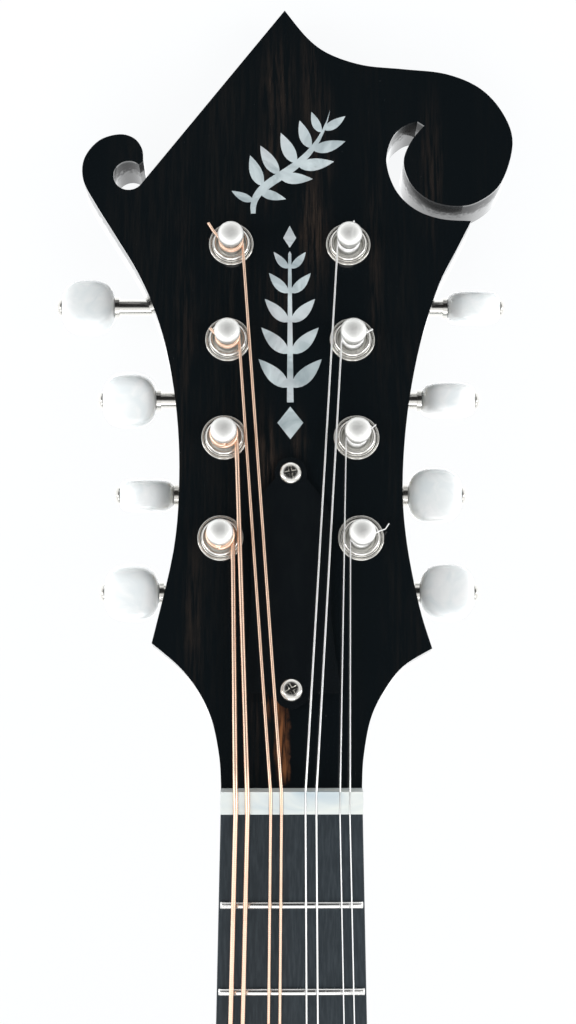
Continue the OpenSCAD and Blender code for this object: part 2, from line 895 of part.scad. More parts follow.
// Threaded part of a worm along +X from the origin; rows follow one helix.
function worm_x(j, i) =
    let (x = (floor(j / 4) + thread_at[j % 4] + i / worm_sides - 1) * worm_pitch)
    x < 0.12 ? 0.02 * j : x > worm_len - 0.12 ? worm_len + 0.02 * (j - worm_rows) : x;

function worm_rad(j, i) =
    let (x = (floor(j / 4) + thread_at[j % 4] + i / worm_sides - 1) * worm_pitch)
    (x < 0.12 || x > worm_len - 0.12 || j % 4 < 2) ? worm_root : worm_tip;

module worm_thread() {
    n = worm_sides;
    m = worm_rows + 1;
    polyhedron(
        points = [for (j = [0 : worm_rows], i = [0 : n - 1])
            let (a = 360 * i / n, r = worm_rad(j, i))
            [worm_x(j, i), r * cos(a), r * sin(a)]],
        faces = concat(
            [[for (k = [0 : n - 1]) k]],
            [[for (k = [n - 1 : -1 : 0]) (m - 1) * n + k]],
            [for (j = [0 : m - 2], k = [0 : n - 2])
                [j * n + k, (j + 1) * n + k, (j + 1) * n + k + 1]],
            [for (j = [0 : m - 2], k = [0 : n - 2])
                [j * n + k, (j + 1) * n + k + 1, j * n + k + 1]],
            [for (j = [0 : m - 6]) [(j + 1) * n - 1, (j + 2) * n - 1, (j + 5) * n]],
            [for (j = [0 : m - 6]) [(j + 1) * n - 1, (j + 5) * n, (j + 4) * n]],
            [for (j = [0 : 3]) [n - 1, (j + 1) * n, j * n]],
            [for (j = [m - 5 : m - 2]) [(j + 1) * n - 1, (j + 2) * n - 1, (m - 1) * n]]
        )
    );
}

module worm(side, row) {
    color("#b9bcc0")
        at_post(side, row)
            translate([0, -gear_distance, -worm_depth])
                union() {
                    translate([-worm_len / 2, 0, 0])
                        worm_thread();
                    translate([-lug_in - lug_w - 0.4, 0, 0])
                        rotate([0, 90, 0])
                            cylinder(r = inner_shaft_r, h = lug_in + lug_w + 0.4 - worm_len / 2);
                    translate([worm_len / 2, 0, 0])
                        rotate([0, 90, 0])
                            knob_shaft(
                                knob_x(side, row) - abs(post_at(side, row).x)
                                - knob_size / 2 - worm_len / 2
                            );
                }
}

module knob_shaft(l) {
    difference() {
        union() {
            cylinder(r = outer_shaft_r, h = l);
            translate([0, 0, l - collar_h])
                cylinder(r = collar_r, h = collar_h);
            cylinder(r = 1.2, h = l + 9);
        }
        translate([0, 0, l + 4])
            cylinder(r = 0.7, h = 6);
    }
}

module knob(side, row) {
    color("#e9ebe8")
        at_post(side, row)
            translate([knob_x(side, row) - abs(post_at(side, row).x), -gear_distance, -worm_depth])
                rotate([knob_turn(side, row), 0, 0]) {
                    difference() {
                        knob_button();
                        translate([-knob_size, 0, 0])
                            rotate([0, 90, 0])
                                cylinder(r = 1.25, h = knob_size + 3.2);
                        rotate([0, 90, 0])
                            cylinder(r = 0.75, h = knob_size);
                    }
                    translate([knob_size / 2 + 0.02, 0, 0])
                        rotate([0, 90, 0])
                            oval_screw(1.9, 1.1, 0.65, 6);
                }
}

// Block rounded seen from each of its three sides.
module knob_button() {
    intersection() {
        linear_extrude(knob_thick, center = true)
            polygon(rounded(knob_size, knob_size, 4));
        rotate([90, 0, 0])
            linear_extrude(knob_size, center = true)
                polygon(rounded(knob_size, knob_thick, 2.4));
        rotate([90, 0, 90])
            linear_extrude(knob_size, center = true)
                polygon(rounded(knob_size, knob_thick, 2.4));
    }
}

// ---- strings --------------------------------------------------------------------------------

// Path of a string in the neck frame: tailpiece, bridge, nut, then coils round the post.
function string_path(i) =
    let (
        g = gauge[i] / 2,
        s = string_side[i],
        p = post_at(s, string_row[i]),
        r = waist_r + gap + g,
        inner = [p.x - s * r, p.y],
        h0 = coil_low + g,
        rise = 2 * g + 0.04,
        tail = body_to_neck([bridge_x[i] * 0.9, 16, tail_z + 2.6]),
        edge = saddle_depth / 2 + 0.15,
        over = [for (y = [-edge, edge])
            body_to_neck([bridge_x[i], bridge_y + y, saddle_top + g + 0.03])],
        nut_in = [nut_x[i], 0, string_z(i)],
        nut_out = [nut_x[i] * 1.005, nut_depth, string_z(i) - 0.1]
    )
    concat(
        [tail, over[0], over[1], nut_in, nut_out],
        [for (k = [0 : 12 * wraps[i]])
            let (a = (s < 0 ? 0 : 180) - s * 30 * k)
            head_to_neck([p.x + r * cos(a), p.y + r * sin(a), h0 + rise * k / 12])]
    );

function ring_at(p, d, r, n) =
    let (
        up = abs(d.z) > 0.9 ? [1, 0, 0] : [0, 0, 1],
        e = unit(cross(up, d)),
        f = cross(d, e)
    )
    [for (k = [0 : n - 1]) p + r * (cos(360 * k / n) * e + sin(360 * k / n) * f)];

module tube(path, r, n) {
    loft([for (i = [0 : len(path) - 1])
        let (d = unit(path[min(i + 1, len(path) - 1)] - path[max(i - 1, 0)]))
        [for (k = [n - 1 : -1 : 0]) ring_at(path[i], d, r, n)[k]]]);
}

module wound_strings() {
    color("#c98f5e")
        neck_frame()
            for (i = [0 : 3])
                tube(string_path(i), gauge[i] / 2, 6);
}

module plain_strings() {
    color("#d5d8da")
        neck_frame()
            for (i = [4 : 7])
                tube(string_path(i), gauge[i] / 2, 6);
}

// ---- bridge ---------------------------------------------------------------------------------

// Height of the soundboard under the edge of the bridge that is nearer the arch centre.
function top_z(x) = half_rib + plate_thick + arch(norm([x, bridge_y - arch_y - base_depth / 2]), top_arch);

module bridge_base() {
    color("#1a1a1b")
        difference() {
            translate([0, bridge_y, 0])
                rotate([90, 0, 0])
                    linear_extrude(base_depth, center = true)
                        polygon(concat(
                            [for (i = [-14 : 14])
                                let (x = bridge_length / 28 * i)
                                [x, top_z(x) + 0.05]],
                            through([[56, top_z(56) + 3], [46, top_z(46) + 3.6], [38, base_top - 0.4],
                                [20, base_top], [8, base_top + 0.8]], 4),
                            through([[-8, base_top + 0.8], [-20, base_top], [-38, base_top - 0.4],
                                [-46, top_z(46) + 3.6], [-56, top_z(56) + 3]], 4)
                        ));
            for (x = [-stud_x, stud_x])
                translate([x, bridge_y, stud_low])
                    cylinder(r = stud_r + 0.01, h = 10);
        }
}

module bridge_studs() {
    color("#c2a45a")
        for (x = [-stud_x, stud_x])
            translate([x, bridge_y, stud_low])
                cylinder(r = stud_r, h = saddle_top - 3 - stud_low);
}

module bridge_saddle() {
    color("#1f1f20")
        difference() {
            translate([0, bridge_y, 0])
                rotate([90, 0, 0])
                    linear_extrude(saddle_depth, center = true)
                        polygon(concat(
                            through([[-38, wheel_top + gap], [-20, wheel_top + gap], [-12, wheel_top + 3.6],
                                [12, wheel_top + 3.6], [20, wheel_top + gap], [38, wheel_top + gap]], 4),
                            through([[38, wheel_top + gap], [37, saddle_top - 4], [27, saddle_top - 0.6],
                                [14, saddle_top - eps], [0, saddle_top - eps], [-14, saddle_top - eps],
                                [-27, saddle_top - 0.6], [-37, saddle_top - 4], [-38, wheel_top + gap]], 4)
                        ));
            for (x = [-stud_x, stud_x])
                translate([x, bridge_y, wheel_top - 1])
                    cylinder(r = stud_r + fit, h = 12);
        }
}

module thumbwheel(x) {
    color("#c2a45a")
        translate([x, bridge_y, wheel_top - wheel_h])
            difference() {
                cylinder(r = wheel_r, h = wheel_h);
                translate([0, 0, -1])
                    cylinder(r = stud_r + fit, h = wheel_h + 2);
                for (k = [0 : 23])
                    rotate(15 * k)
                        translate([wheel_r + 0.25, 0, -1])
                            cylinder(r = 0.5, h = wheel_h + 2, $fn = 16);
            }
}

// ---- tail -----------------------------------------------------------------------------------

module tailpiece() {
    color("#c9ccd0")
        difference() {
            union() {
                translate([-15, -2.4, -9])
                    cube([30, 2.2, tail_z + 9]);
                translate([0, 0, tail_z - 1.6])
                    linear_extrude(3.2)
                        polygon(concat(
                            [[-22, -2.4], [22, -2.4]],
                            through([[22, -2.4], [24, 8], [23, 20], [14, 27], [0, 30], [-14, 27], [-23, 20],
                                [-24, 8], [-22, -2.4]], 4)
                        ));
                for (i = [0 : 7])
                    translate([bridge_x[i] * 0.9, 8, tail_z])
                        cylinder(r = 1.1, h = 5);
            }
            rotate([90, 0, 0])
                cylinder(r = tail_hole_r, h = 12, center = true);
        }
}

module strap_button() {
    color("#e8e2d2")
        rotate([90, 0, 0])
            rotate_extrude()
                polygon([[0, -22], [3.4, -22], [3.4, 2.5], [7, 2.6], [6.6, 4], [4.2, 7], [4.4, 10],
                    [7, 12.4], [7.4, 14], [5.4, 15.6], [0, 16.2]]);
}

// ---- nodes ----------------------------------------------------------------------------------

soundboard();
back_plate();
ribs();
linings();
blocks();
bindings();
neck();
truss_rod();
headplate();
head_inlay();
truss_rod_cover();
cover_screws();
fingerboard();
frets();
nut();
tuner_bushings();
tuner_plates();
plate_screws();
post(-1, 0);  // post_b1
post(-1, 1);  // post_b2
post(-1, 2);  // post_b3
post(-1, 3);  // post_b4
post(1, 0);  // post_t1
post(1, 1);  // post_t2
post(1, 2);  // post_t3
post(1, 3);  // post_t4
gear(-1, 0);  // gear_b1
gear(-1, 1);  // gear_b2
gear(-1, 2);  // gear_b3
gear(-1, 3);  // gear_b4
gear(1, 0);  // gear_t1
gear(1, 1);  // gear_t2
gear(1, 2);  // gear_t3
gear(1, 3);  // gear_t4
worm(-1, 0);  // worm_b1
worm(-1, 1);  // worm_b2
worm(-1, 2);  // worm_b3
worm(-1, 3);  // worm_b4
worm(1, 0);  // worm_t1
worm(1, 1);  // worm_t2
worm(1, 2);  // worm_t3
worm(1, 3);  // worm_t4
knob(-1, 0);  // knob_b1
knob(-1, 1);  // knob_b2
knob(-1, 2);  // knob_b3
knob(-1, 3);  // knob_b4
knob(1, 0);  // knob_t1
knob(1, 1);  // knob_t2
knob(1, 2);  // knob_t3
knob(1, 3);  // knob_t4
wound_strings();
plain_strings();
bridge_base();
bridge_saddle();
bridge_studs();
thumbwheel(-stud_x);  // thumbwheel_bass
thumbwheel(stud_x);  // thumbwheel_treble
tailpiece();
strap_button();
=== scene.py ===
"""Looks of an eight-string scroll-body mandolin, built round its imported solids.

Every piece is in metres in the part's own frame: the origin is on the strap-button axis at the tail
end, +Y runs to the headstock, +X is the treble side and +Z points out of the soundboard. A size or
a profile that isn't multiplied by MM where it is stated is in millimetres.
"""

from __future__ import annotations

import json
import logging
import math
from dataclasses import dataclass, field
from enum import Enum
from typing import Any, Sequence

import bmesh
import bpy
from mathutils import Matrix, Vector

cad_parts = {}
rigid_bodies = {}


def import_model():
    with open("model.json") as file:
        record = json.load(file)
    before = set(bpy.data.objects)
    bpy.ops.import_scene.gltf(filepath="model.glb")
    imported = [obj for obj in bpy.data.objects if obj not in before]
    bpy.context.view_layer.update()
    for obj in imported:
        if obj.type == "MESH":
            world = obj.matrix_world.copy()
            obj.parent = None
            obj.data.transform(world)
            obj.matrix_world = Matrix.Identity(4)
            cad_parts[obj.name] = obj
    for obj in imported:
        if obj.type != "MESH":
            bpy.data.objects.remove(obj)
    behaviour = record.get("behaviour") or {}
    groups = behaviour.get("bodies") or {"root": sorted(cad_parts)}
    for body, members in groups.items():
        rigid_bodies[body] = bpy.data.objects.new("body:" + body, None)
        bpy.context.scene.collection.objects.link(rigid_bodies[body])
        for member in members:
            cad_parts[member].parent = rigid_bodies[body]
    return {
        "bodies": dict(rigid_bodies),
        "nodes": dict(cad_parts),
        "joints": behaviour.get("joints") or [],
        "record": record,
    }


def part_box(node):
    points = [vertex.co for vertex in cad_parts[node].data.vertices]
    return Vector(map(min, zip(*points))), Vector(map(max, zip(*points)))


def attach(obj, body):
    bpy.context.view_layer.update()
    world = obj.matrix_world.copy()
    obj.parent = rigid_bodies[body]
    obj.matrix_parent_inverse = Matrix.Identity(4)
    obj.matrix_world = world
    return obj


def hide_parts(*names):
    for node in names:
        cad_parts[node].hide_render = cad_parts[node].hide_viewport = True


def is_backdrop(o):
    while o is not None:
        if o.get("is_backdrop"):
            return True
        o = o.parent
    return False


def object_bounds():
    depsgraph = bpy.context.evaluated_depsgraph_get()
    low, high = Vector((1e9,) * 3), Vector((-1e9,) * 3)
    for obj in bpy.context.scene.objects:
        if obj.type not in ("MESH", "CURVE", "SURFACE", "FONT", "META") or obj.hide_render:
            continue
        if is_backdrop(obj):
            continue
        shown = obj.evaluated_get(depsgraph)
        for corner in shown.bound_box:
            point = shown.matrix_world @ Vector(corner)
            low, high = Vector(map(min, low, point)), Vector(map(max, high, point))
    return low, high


MM = 0.001
LOG = logging.getLogger("mandolin")

Colour = tuple[float, float, float]
Point2 = tuple[float, float]
BMesh = bmesh.types.BMesh
Material = bpy.types.Material
Node = bpy.types.Node
Piece = bpy.types.Object
Socket = bpy.types.NodeSocket
Tree = bpy.types.NodeTree


class Side(Enum):
    """The two rows of tuners."""

    BASS = -1
    TREBLE = 1

    @property
    def letter(self) -> str:
        """First letter used in the node names of this side."""
        return "b" if self is Side.BASS else "t"


# ---- geometry of the neck and headstock ------------------------------------------------------


@dataclass(frozen=True)
class NeckGeometry:
    """Angles and lengths that place the neck frame and the headstock frame."""

    scale_length: float = 352.4 * MM
    neck_angle: float = math.radians(5.5)
    head_angle: float = math.radians(15.0)
    bridge_y: float = 152.0 * MM
    board_z_at_bridge: float = 53.0 * MM
    nut_depth: float = 4.8 * MM
    nut_rise: float = 1.7 * MM
    face_drop: float = 2.5 * MM

    def neck_frame(self) -> Matrix:
        """Frame with its origin at the front edge of the nut, +Y to the headstock.

        Returns:
            The frame.
        """
        y = self.bridge_y + self.scale_length * math.cos(self.neck_angle)
        z = self.board_z_at_bridge - self.scale_length * math.sin(self.neck_angle)
        return Matrix.Translation((0, y, z)) @ Matrix.Rotation(-self.neck_angle, 4, "X")

    def head_frame(self) -> Matrix:
        """Frame on the headstock face with its origin at the back edge of the nut."""
        step = Matrix.Translation((0, self.nut_depth, -self.face_drop))
        return self.neck_frame() @ step @ Matrix.Rotation(-self.head_angle, 4, "X")

    def head_turn(self) -> Matrix:
        """Rotation of the headstock frame without its place."""
        return self.head_frame().to_3x3().to_4x4()


# ---- mesh helpers ----------------------------------------------------------------------------


def link_mesh(name: str, bm: BMesh, sharp: float = 35.0) -> Piece:
    """Turns a bmesh into a smooth-shaded object in the scene.

    Args:
        name: Name of the new piece.
        bm: Geometry in the part's frame; it is freed here.
        sharp: Edges sharper than this many degrees keep a hard shade.

    Returns:
        The new object.
    """
    bmesh.ops.recalc_face_normals(bm, faces=bm.faces)
    mesh = bpy.data.meshes.new(name)
    bm.to_mesh(mesh)
    bm.free()
    for leftover in ("custom_normal", "sharp_edge", "sharp_face"):
        if leftover in mesh.attributes:
            mesh.attributes.remove(mesh.attributes[leftover])
    mesh.shade_smooth()
    mesh.set_sharp_from_angle(angle=math.radians(sharp))
    piece = bpy.data.objects.new(name, mesh)
    bpy.context.scene.collection.objects.link(piece)
    return piece


def circle(steps: int) -> list[Point2]:
    """Cosine and sine of evenly spaced angles, once round from zero."""
    angles = [2 * math.pi * k / steps for k in range(steps)]
    return [(math.cos(a), math.sin(a)) for a in angles]


def ring_surface(bm: BMesh, rings: Sequence[Sequence[Vector]], closed: bool = False) -> None:
    """Adds quads between rings of equal length, and caps both ends unless closed.

    Args:
        bm: Mesh that receives the surface.
        rings: Rings of points, each running the same way round.
        closed: True joins the last ring to the first.
    """
    rows = [[bm.verts.new(p) for p in ring] for ring in rings]
    count = len(rows[0])
    pairs = list(zip(rows, rows[1:])) + ([(rows[-1], rows[0])] if closed else [])
    for low, high in pairs:
        for k in range(count):
            m = (k + 1) % count
            bm.faces.new((low[k], low[m], high[m], high[k]))
    if not closed:
        bm.faces.new(list(reversed(rows[0])))
        bm.faces.new(rows[-1])


def lathe(bm: BMesh, profile: Sequence[Point2], place: Matrix, bored: bool = False) -> None:
    """Turns a profile of (radius, height) points about the local Z axis of a frame.

    Args:
        bm: Mesh that receives the surface.
        profile: Points in millimetres, from the bottom to the top; a zero radius closes the end.
        place: Frame of the axis.
        bored: True for a profile that runs once round a section clear of the axis.
    """
    least, steps = 0.02, 72
    points = [(max(r, least) * MM, h * MM) for r, h in profile]
    rings = [[place @ Vector((r * c, r * s, h)) for r, h in points] for c, s in circle(steps)]
    ring_surface(bm, rings if bored else list(zip(*rings)), closed=bored)


def tube(bm: BMesh, path: Sequence[Vector], radius: float, sides: int = 10) -> None:
    """Sweeps a round section along a path without twisting it.

    Args:
        bm: Mesh that receives the surface.
        path: Points along the middle of the tube.
        radius: Radius of the tube.
        sides: Number of faces round it.
    """
    rings: list[list[Vector]] = []
    normal: Vector | None = None
    for i, p in enumerate(path):
        ahead = (path[min(i + 1, len(path) - 1)] - path[max(i - 1, 0)]).normalized()
        if normal is None:
            normal = ahead.orthogonal().normalized()
        normal = (normal - ahead * normal.dot(ahead)).normalized()
        side = ahead.cross(normal)
        rings.append([p + radius * (c * normal + s * side) for c, s in circle(sides)])
    ring_surface(bm, rings)


def clear_walls(bm: BMesh, flush: float = 0.9999, square: float = 0.1) -> None:
    """Deletes the walls left inside a mesh where two of its solids share a face.

    Args:
        bm: Mesh in which such a wall meets two flush outer faces along its long edges.
        flush: Least cosine between the normals of two outer faces that lie flush.
        square: Greatest cosine between the normals of a wall and an outer face.
    """
    meetings: dict[bmesh.types.BMFace, int] = {}
    for edge in bm.edges:
        faces = list(edge.link_faces)
        for wall in faces if len(faces) == 3 else []:
            one, other = [face.normal for face in faces if face is not wall]
            if one.dot(other) > flush and abs(one.dot(wall.normal)) < square:
                meetings[wall] = meetings.get(wall, 0) + 1
    walls = [face for face, count in meetings.items() if count > 1]
    bmesh.ops.delete(bm, geom=walls, context="FACES_ONLY")


def add_bevel(piece: Piece, width: float, segments: int, angle: float) -> None:
    """Rounds the sharp edges of a piece with a bevel modifier.

    Args:
        piece: Object to round.
        width: Width of the rounding in metres.
        segments: Faces across the rounding.
        angle: Only edges sharper than this many degrees are rounded.
    """
    bevel = piece.modifiers.new("edge_rounding", "BEVEL")
    bevel.width = width
    bevel.segments = segments
    bevel.limit_method = "ANGLE"
    bevel.angle_limit = math.radians(angle)
    bevel.harden_normals = True
    bevel.use_clamp_overlap = True


# ---- shader building -------------------------------------------------------------------------


class Shader:
    """Small builder that adds nodes to a tree and wires them by name."""

    def __init__(self, tree: Tree) -> None:
        """Keeps the tree that nodes are added to."""
        self.tree = tree

    def put(self, node: Node, key: str | int, value: Any) -> None:
        """Wires an output socket, or sets a constant, at one input of a node.

        Args:
            node: Node that has the input.
            key: Name or index of the input.
            value: Output socket or constant.
        """
        if isinstance(value, Socket):
            self.tree.links.new(value, node.inputs[key])
        else:
            node.inputs[key].default_value = value

    def feed(self, node: Node, **values: Any) -> Node:
        """Puts a value at each named input, with _ for a space, and returns the node.

        Args:
            node: Node that has the inputs.
            values: Output socket or constant for each input.

        Returns:
            The same node.
        """
        for label, value in values.items():
            self.put(node, label.replace("_", " "), value)
        return node

    def add(self, kind: str, values: dict[Any, Any] | None = None, **settings: Any) -> Node:
        """Adds one node.

        Args:
            kind: Node type without its ShaderNode prefix.
            values: Input name or index to a value or to an output socket.
            settings: Attributes set on the node.

        Returns:
            The new node.
        """
        node = self.tree.nodes.new("ShaderNode" + kind)
        for key, value in settings.items():
            setattr(node, key, value)
        for key, value in (values or {}).items():
            self.put(node, key, value)
        return node

    def math(self, operation: str, a: Any, b: Any = 0.5, clamp: bool = False) -> Socket:
        """Adds a Math node and returns its output."""
        return self.add("Math", {0: a, 1: b}, operation=operation, use_clamp=clamp).outputs[0]

    def times(self, a: Any, b: Any) -> Socket:
        """Multiplies two values and returns the product."""
        return self.math("MULTIPLY", a, b)

    def minus(self, a: Any, b: Any) -> Socket:
        """Takes the second value from the first and returns the difference."""
        return self.math("SUBTRACT", a, b)

    def remap(
        self, value: Any, low: float = 0.0, high: float = 1.0, start: float = 0.0, end: float = 1.0
    ) -> Socket:
        """Maps low to high of a value to start to end, clamped.

        Args:
            value: Socket to map.
            low: Value that gives start.
            high: Value that gives end.
            start: Result at low.
            end: Result at high.

        Returns:
            The mapped value.
        """
        return self.add("MapRange", {0: value, 1: low, 2: high, 3: start, 4: end}).outputs[0]

    def ramp(self, value: Any, stops: Sequence[tuple[float, Colour]]) -> Socket:
        """Adds a colour ramp.

        Args:
            value: Socket that drives the ramp.
            stops: Position and colour of each stop.

        Returns:
            The colour output.
        """
        node = self.add("ValToRGB", {0: value})
        elements = node.color_ramp.elements
        while len(elements) < len(stops):
            elements.new(0.5)
        for element, (position, colour) in zip(elements, stops):
            element.position = position
            element.color = (*colour, 1.0)
        return node.outputs[0]

    def mix(self, factor: Any, a: Any, b: Any, blend: str = "MIX") -> Socket:
        """Mixes two colours and returns the result.

        Args:
            factor: How much of the second colour there is.
            a: First colour.
            b: Second colour.
            blend: Way of mixing.

        Returns:
            The mixed colour.
        """
        node = self.add("Mix", {0: factor}, data_type="RGBA", blend_type=blend)
        for index, value in ((6, a), (7, b)):
            self.put(node, index, value if isinstance(value, Socket) else (*value, 1.0))
        return node.outputs[2]

    def noise(self, vector: Any, scale: Any, detail: float = 3.0, rough: float = 0.5) -> Socket:
        """Adds a noise texture and returns its factor."""
        values = {"Vector": vector, "Scale": scale, "Detail": detail, "Roughness": rough}
        return self.add("TexNoise", values).outputs[0]

    def waver(self, vector: Any, scale: float, detail: float, rough: float, reach: float) -> Socket:
        """Adds noise that swings to both sides of zero.

        Args:
            vector: Texture coordinates.
            scale: Scale of the noise.
            detail: Octaves of the noise.
            rough: Strength of the finer octaves.
            reach: What the noise, less a half, is multiplied by.

        Returns:
            The swinging value.
        """
        return self.times(self.minus(self.noise(vector, scale, detail, rough), 0.5), reach)

    def squares(self, x: Any, half_x: Any, y: Any, half_y: Any) -> Socket:
        """Squared distance from the middle of an oval; it is 1 on the oval itself.

        Args:
            x: First coordinate from the middle.
            half_x: Half size of the oval along it.
            y: Second coordinate from the middle.
            half_y: Half size of the oval along it.

        Returns:
            The squared distance.
        """
        a, b = self.math("DIVIDE", x, half_x), self.math("DIVIDE", y, half_y)
        return self.math("ADD", self.times(a, a), self.times(b, b))

    def drawn(self, vector: Any, stretch: Colour, turn: float = 0.0) -> Socket:
        """Stretches texture space, after a turn about Z, and returns the new coordinates."""
        values = {"Vector": vector, "Scale": stretch, "Rotation": (0.0, 0.0, turn)}
        return self.add("Mapping", values).outputs[0]

    def pushed(self, vector: Any, by: Any, amount: Any) -> Socket:
        """Moves texture coordinates by a colour times an amount, and returns them."""
        step = self.add("VectorMath", {0: by, "Scale": amount}, operation="SCALE").outputs[0]
        return self.add("VectorMath", {0: vector, 1: step}, operation="ADD").outputs[0]

    def head_space(self, where: Socket) -> Socket:
        """Coordinates in the frame of the headstock face.

        Args:
            where: Coordinates of the surface.

        Returns:
            The new coordinates.
        """
        head = NeckGeometry().head_frame()
        place, turn = tuple(head.translation), tuple(head.to_euler())
        values = {"Vector": where, "Location": place, "Rotation": turn}
        return self.add("Mapping", values, vector_type="TEXTURE").outputs[0]


def new_group(name: str, numbers: dict[str, float], outputs: Sequence[str]) -> tuple[Shader, Any, Node]:
    """Creates a shader node group that takes a vector and numbers and puts out masks or values.

    Args:
        name: Name of the group.
        numbers: Name and default of each number that it takes.
        outputs: Name of each mask or value that it puts out.

    Returns:
        The builder, the sockets that bring the inputs, and the output node.
    """
    tree = bpy.data.node_groups.new(name, "ShaderNodeTree")
    tree.interface.new_socket("Vector", in_out="INPUT", socket_type="NodeSocketVector")
    for label, default in numbers.items():
        socket = tree.interface.new_socket(label, in_out="INPUT", socket_type="NodeSocketFloat")
        socket.default_value = default
    for label in outputs:
        tree.interface.new_socket(label, in_out="OUTPUT", socket_type="NodeSocketFloat")
    given = tree.nodes.new("NodeGroupInput").outputs
    return Shader(tree), given, tree.nodes.new("NodeGroupOutput")


class Effects:
    """Node groups that several finishes share, each built once."""

    def __init__(self) -> None:
        """Builds all the groups."""
        self.grain = self._grain()
        self.wear = self._wear()
        self.scratches = self._scratches()
        self.streak = self._streak()
        self.clouds = self._clouds()

    @staticmethod
    def _grain() -> Tree:
        """Long wood fibres: a mask of the dark lines, broad figure and a height.

        Returns:
            The group.
        """
        s, given, out = new_group(
            "wood_grain", {"Fineness": 400.0, "Waviness": 0.2}, ("Lines", "Figure", "Height")
        )
        drift = s.add("TexNoise", {"Vector": given["Vector"], "Scale": 14.0, "Detail": 2.0})
        moved = s.pushed(given["Vector"], drift.outputs["Color"], given["Waviness"])
        fine = s.noise(moved, given["Fineness"], detail=4.0, rough=0.62)
        lines, figure = s.remap(fine, 0.42, 0.66), s.noise(moved, 60.0, detail=2.0)
        s.feed(out, Lines=lines, Figure=figure, Height=fine)
        return s.tree

    @staticmethod
    def _wear() -> Tree:
        """Mask of handled edges, from the surface's pointiness broken by noise.

        Returns:
            The group.
        """
        s, given, out = new_group("edge_wear", {"Amount": 0.5}, ("Mask",))
        edge = s.remap(s.add("NewGeometry").outputs["Pointiness"], 0.5, 0.62)
        broken = s.times(edge, s.noise(given["Vector"], 900.0, rough=0.7))
        s.feed(out, Mask=s.math("MULTIPLY", broken, given["Amount"], clamp=True))
        return s.tree

    @staticmethod
    def _scratches() -> Tree:
        """Fine hairlines in two directions and soft smudges, for polished surfaces.

        Returns:
            The group.
        """
        s, given, out = new_group("hairlines", {"Scale": 1.0}, ("Lines", "Smudge"))
        values = {0: given["Vector"], "Scale": given["Scale"]}
        sized = s.add("VectorMath", values, operation="SCALE").outputs[0]
        cuts = []
        for turn, stretch in ((0.5, (2600.0, 60.0, 600.0)), (-0.9, (60.0, 2200.0, 500.0))):
            line = s.noise(s.drawn(sized, stretch, turn), 1.0, detail=2.0)
            cuts.append(s.remap(line, 0.6, 0.75))
        smudge = s.noise(sized, 70.0, detail=4.0, rough=0.6)
        s.feed(out, Lines=s.math("ADD", *cuts, clamp=True), Smudge=smudge)
        return s.tree

    @staticmethod
    def _streak() -> Tree:
        """One soft-edged streak of lighter heartwood at a stated place on the headplate.

        Returns:
            The group.
        """
        numbers = {"Across": 0.0, "Along": 0.0, "Half Width": 0.002, "Half Length": 0.02}
        s, given, out = new_group("heartwood_streak", numbers, ("Mask",))
        parts = s.add("SeparateXYZ", {0: given["Vector"]}).outputs
        ragged = s.waver(given["Vector"], 160.0, 4.0, 0.65, reach=3.5 * MM)
        across = s.math("ADD", s.minus(parts[0], given["Across"]), ragged)
        along = s.minus(parts[1], given["Along"])
        squares = s.squares(across, given["Half Width"], along, given["Half Length"])
        s.feed(out, Mask=s.math("EXPONENT", s.times(squares, -1.2)))
        return s.tree

    @staticmethod
    def _clouds() -> Tree:
        """Folded clouds of shell or pearloid: a bright mask and a slow drift.

        Returns:
            The group.
        """
        s, given, out = new_group("pearl_clouds", {"Scale": 120.0, "Fold": 0.6}, ("Cloud", "Drift"))
        warp = s.add("TexNoise", {"Vector": given["Vector"], "Scale": 90.0, "Detail": 2.0})
        fold = s.times(given["Fold"], 0.01)
        moved = s.pushed(given["Vector"], warp.outputs["Color"], fold)
        values = {"Vector": moved, "Scale": given["Scale"], "Detail": 3.0, "Roughness": 0.55}
        wave = s.add("TexNoise", {**values, "Distortion": 1.2})
        s.feed(out, Cloud=wave.outputs[0], Drift=warp.outputs[0])
        return s.tree


# ---- finishes --------------------------------------------------------------------------------


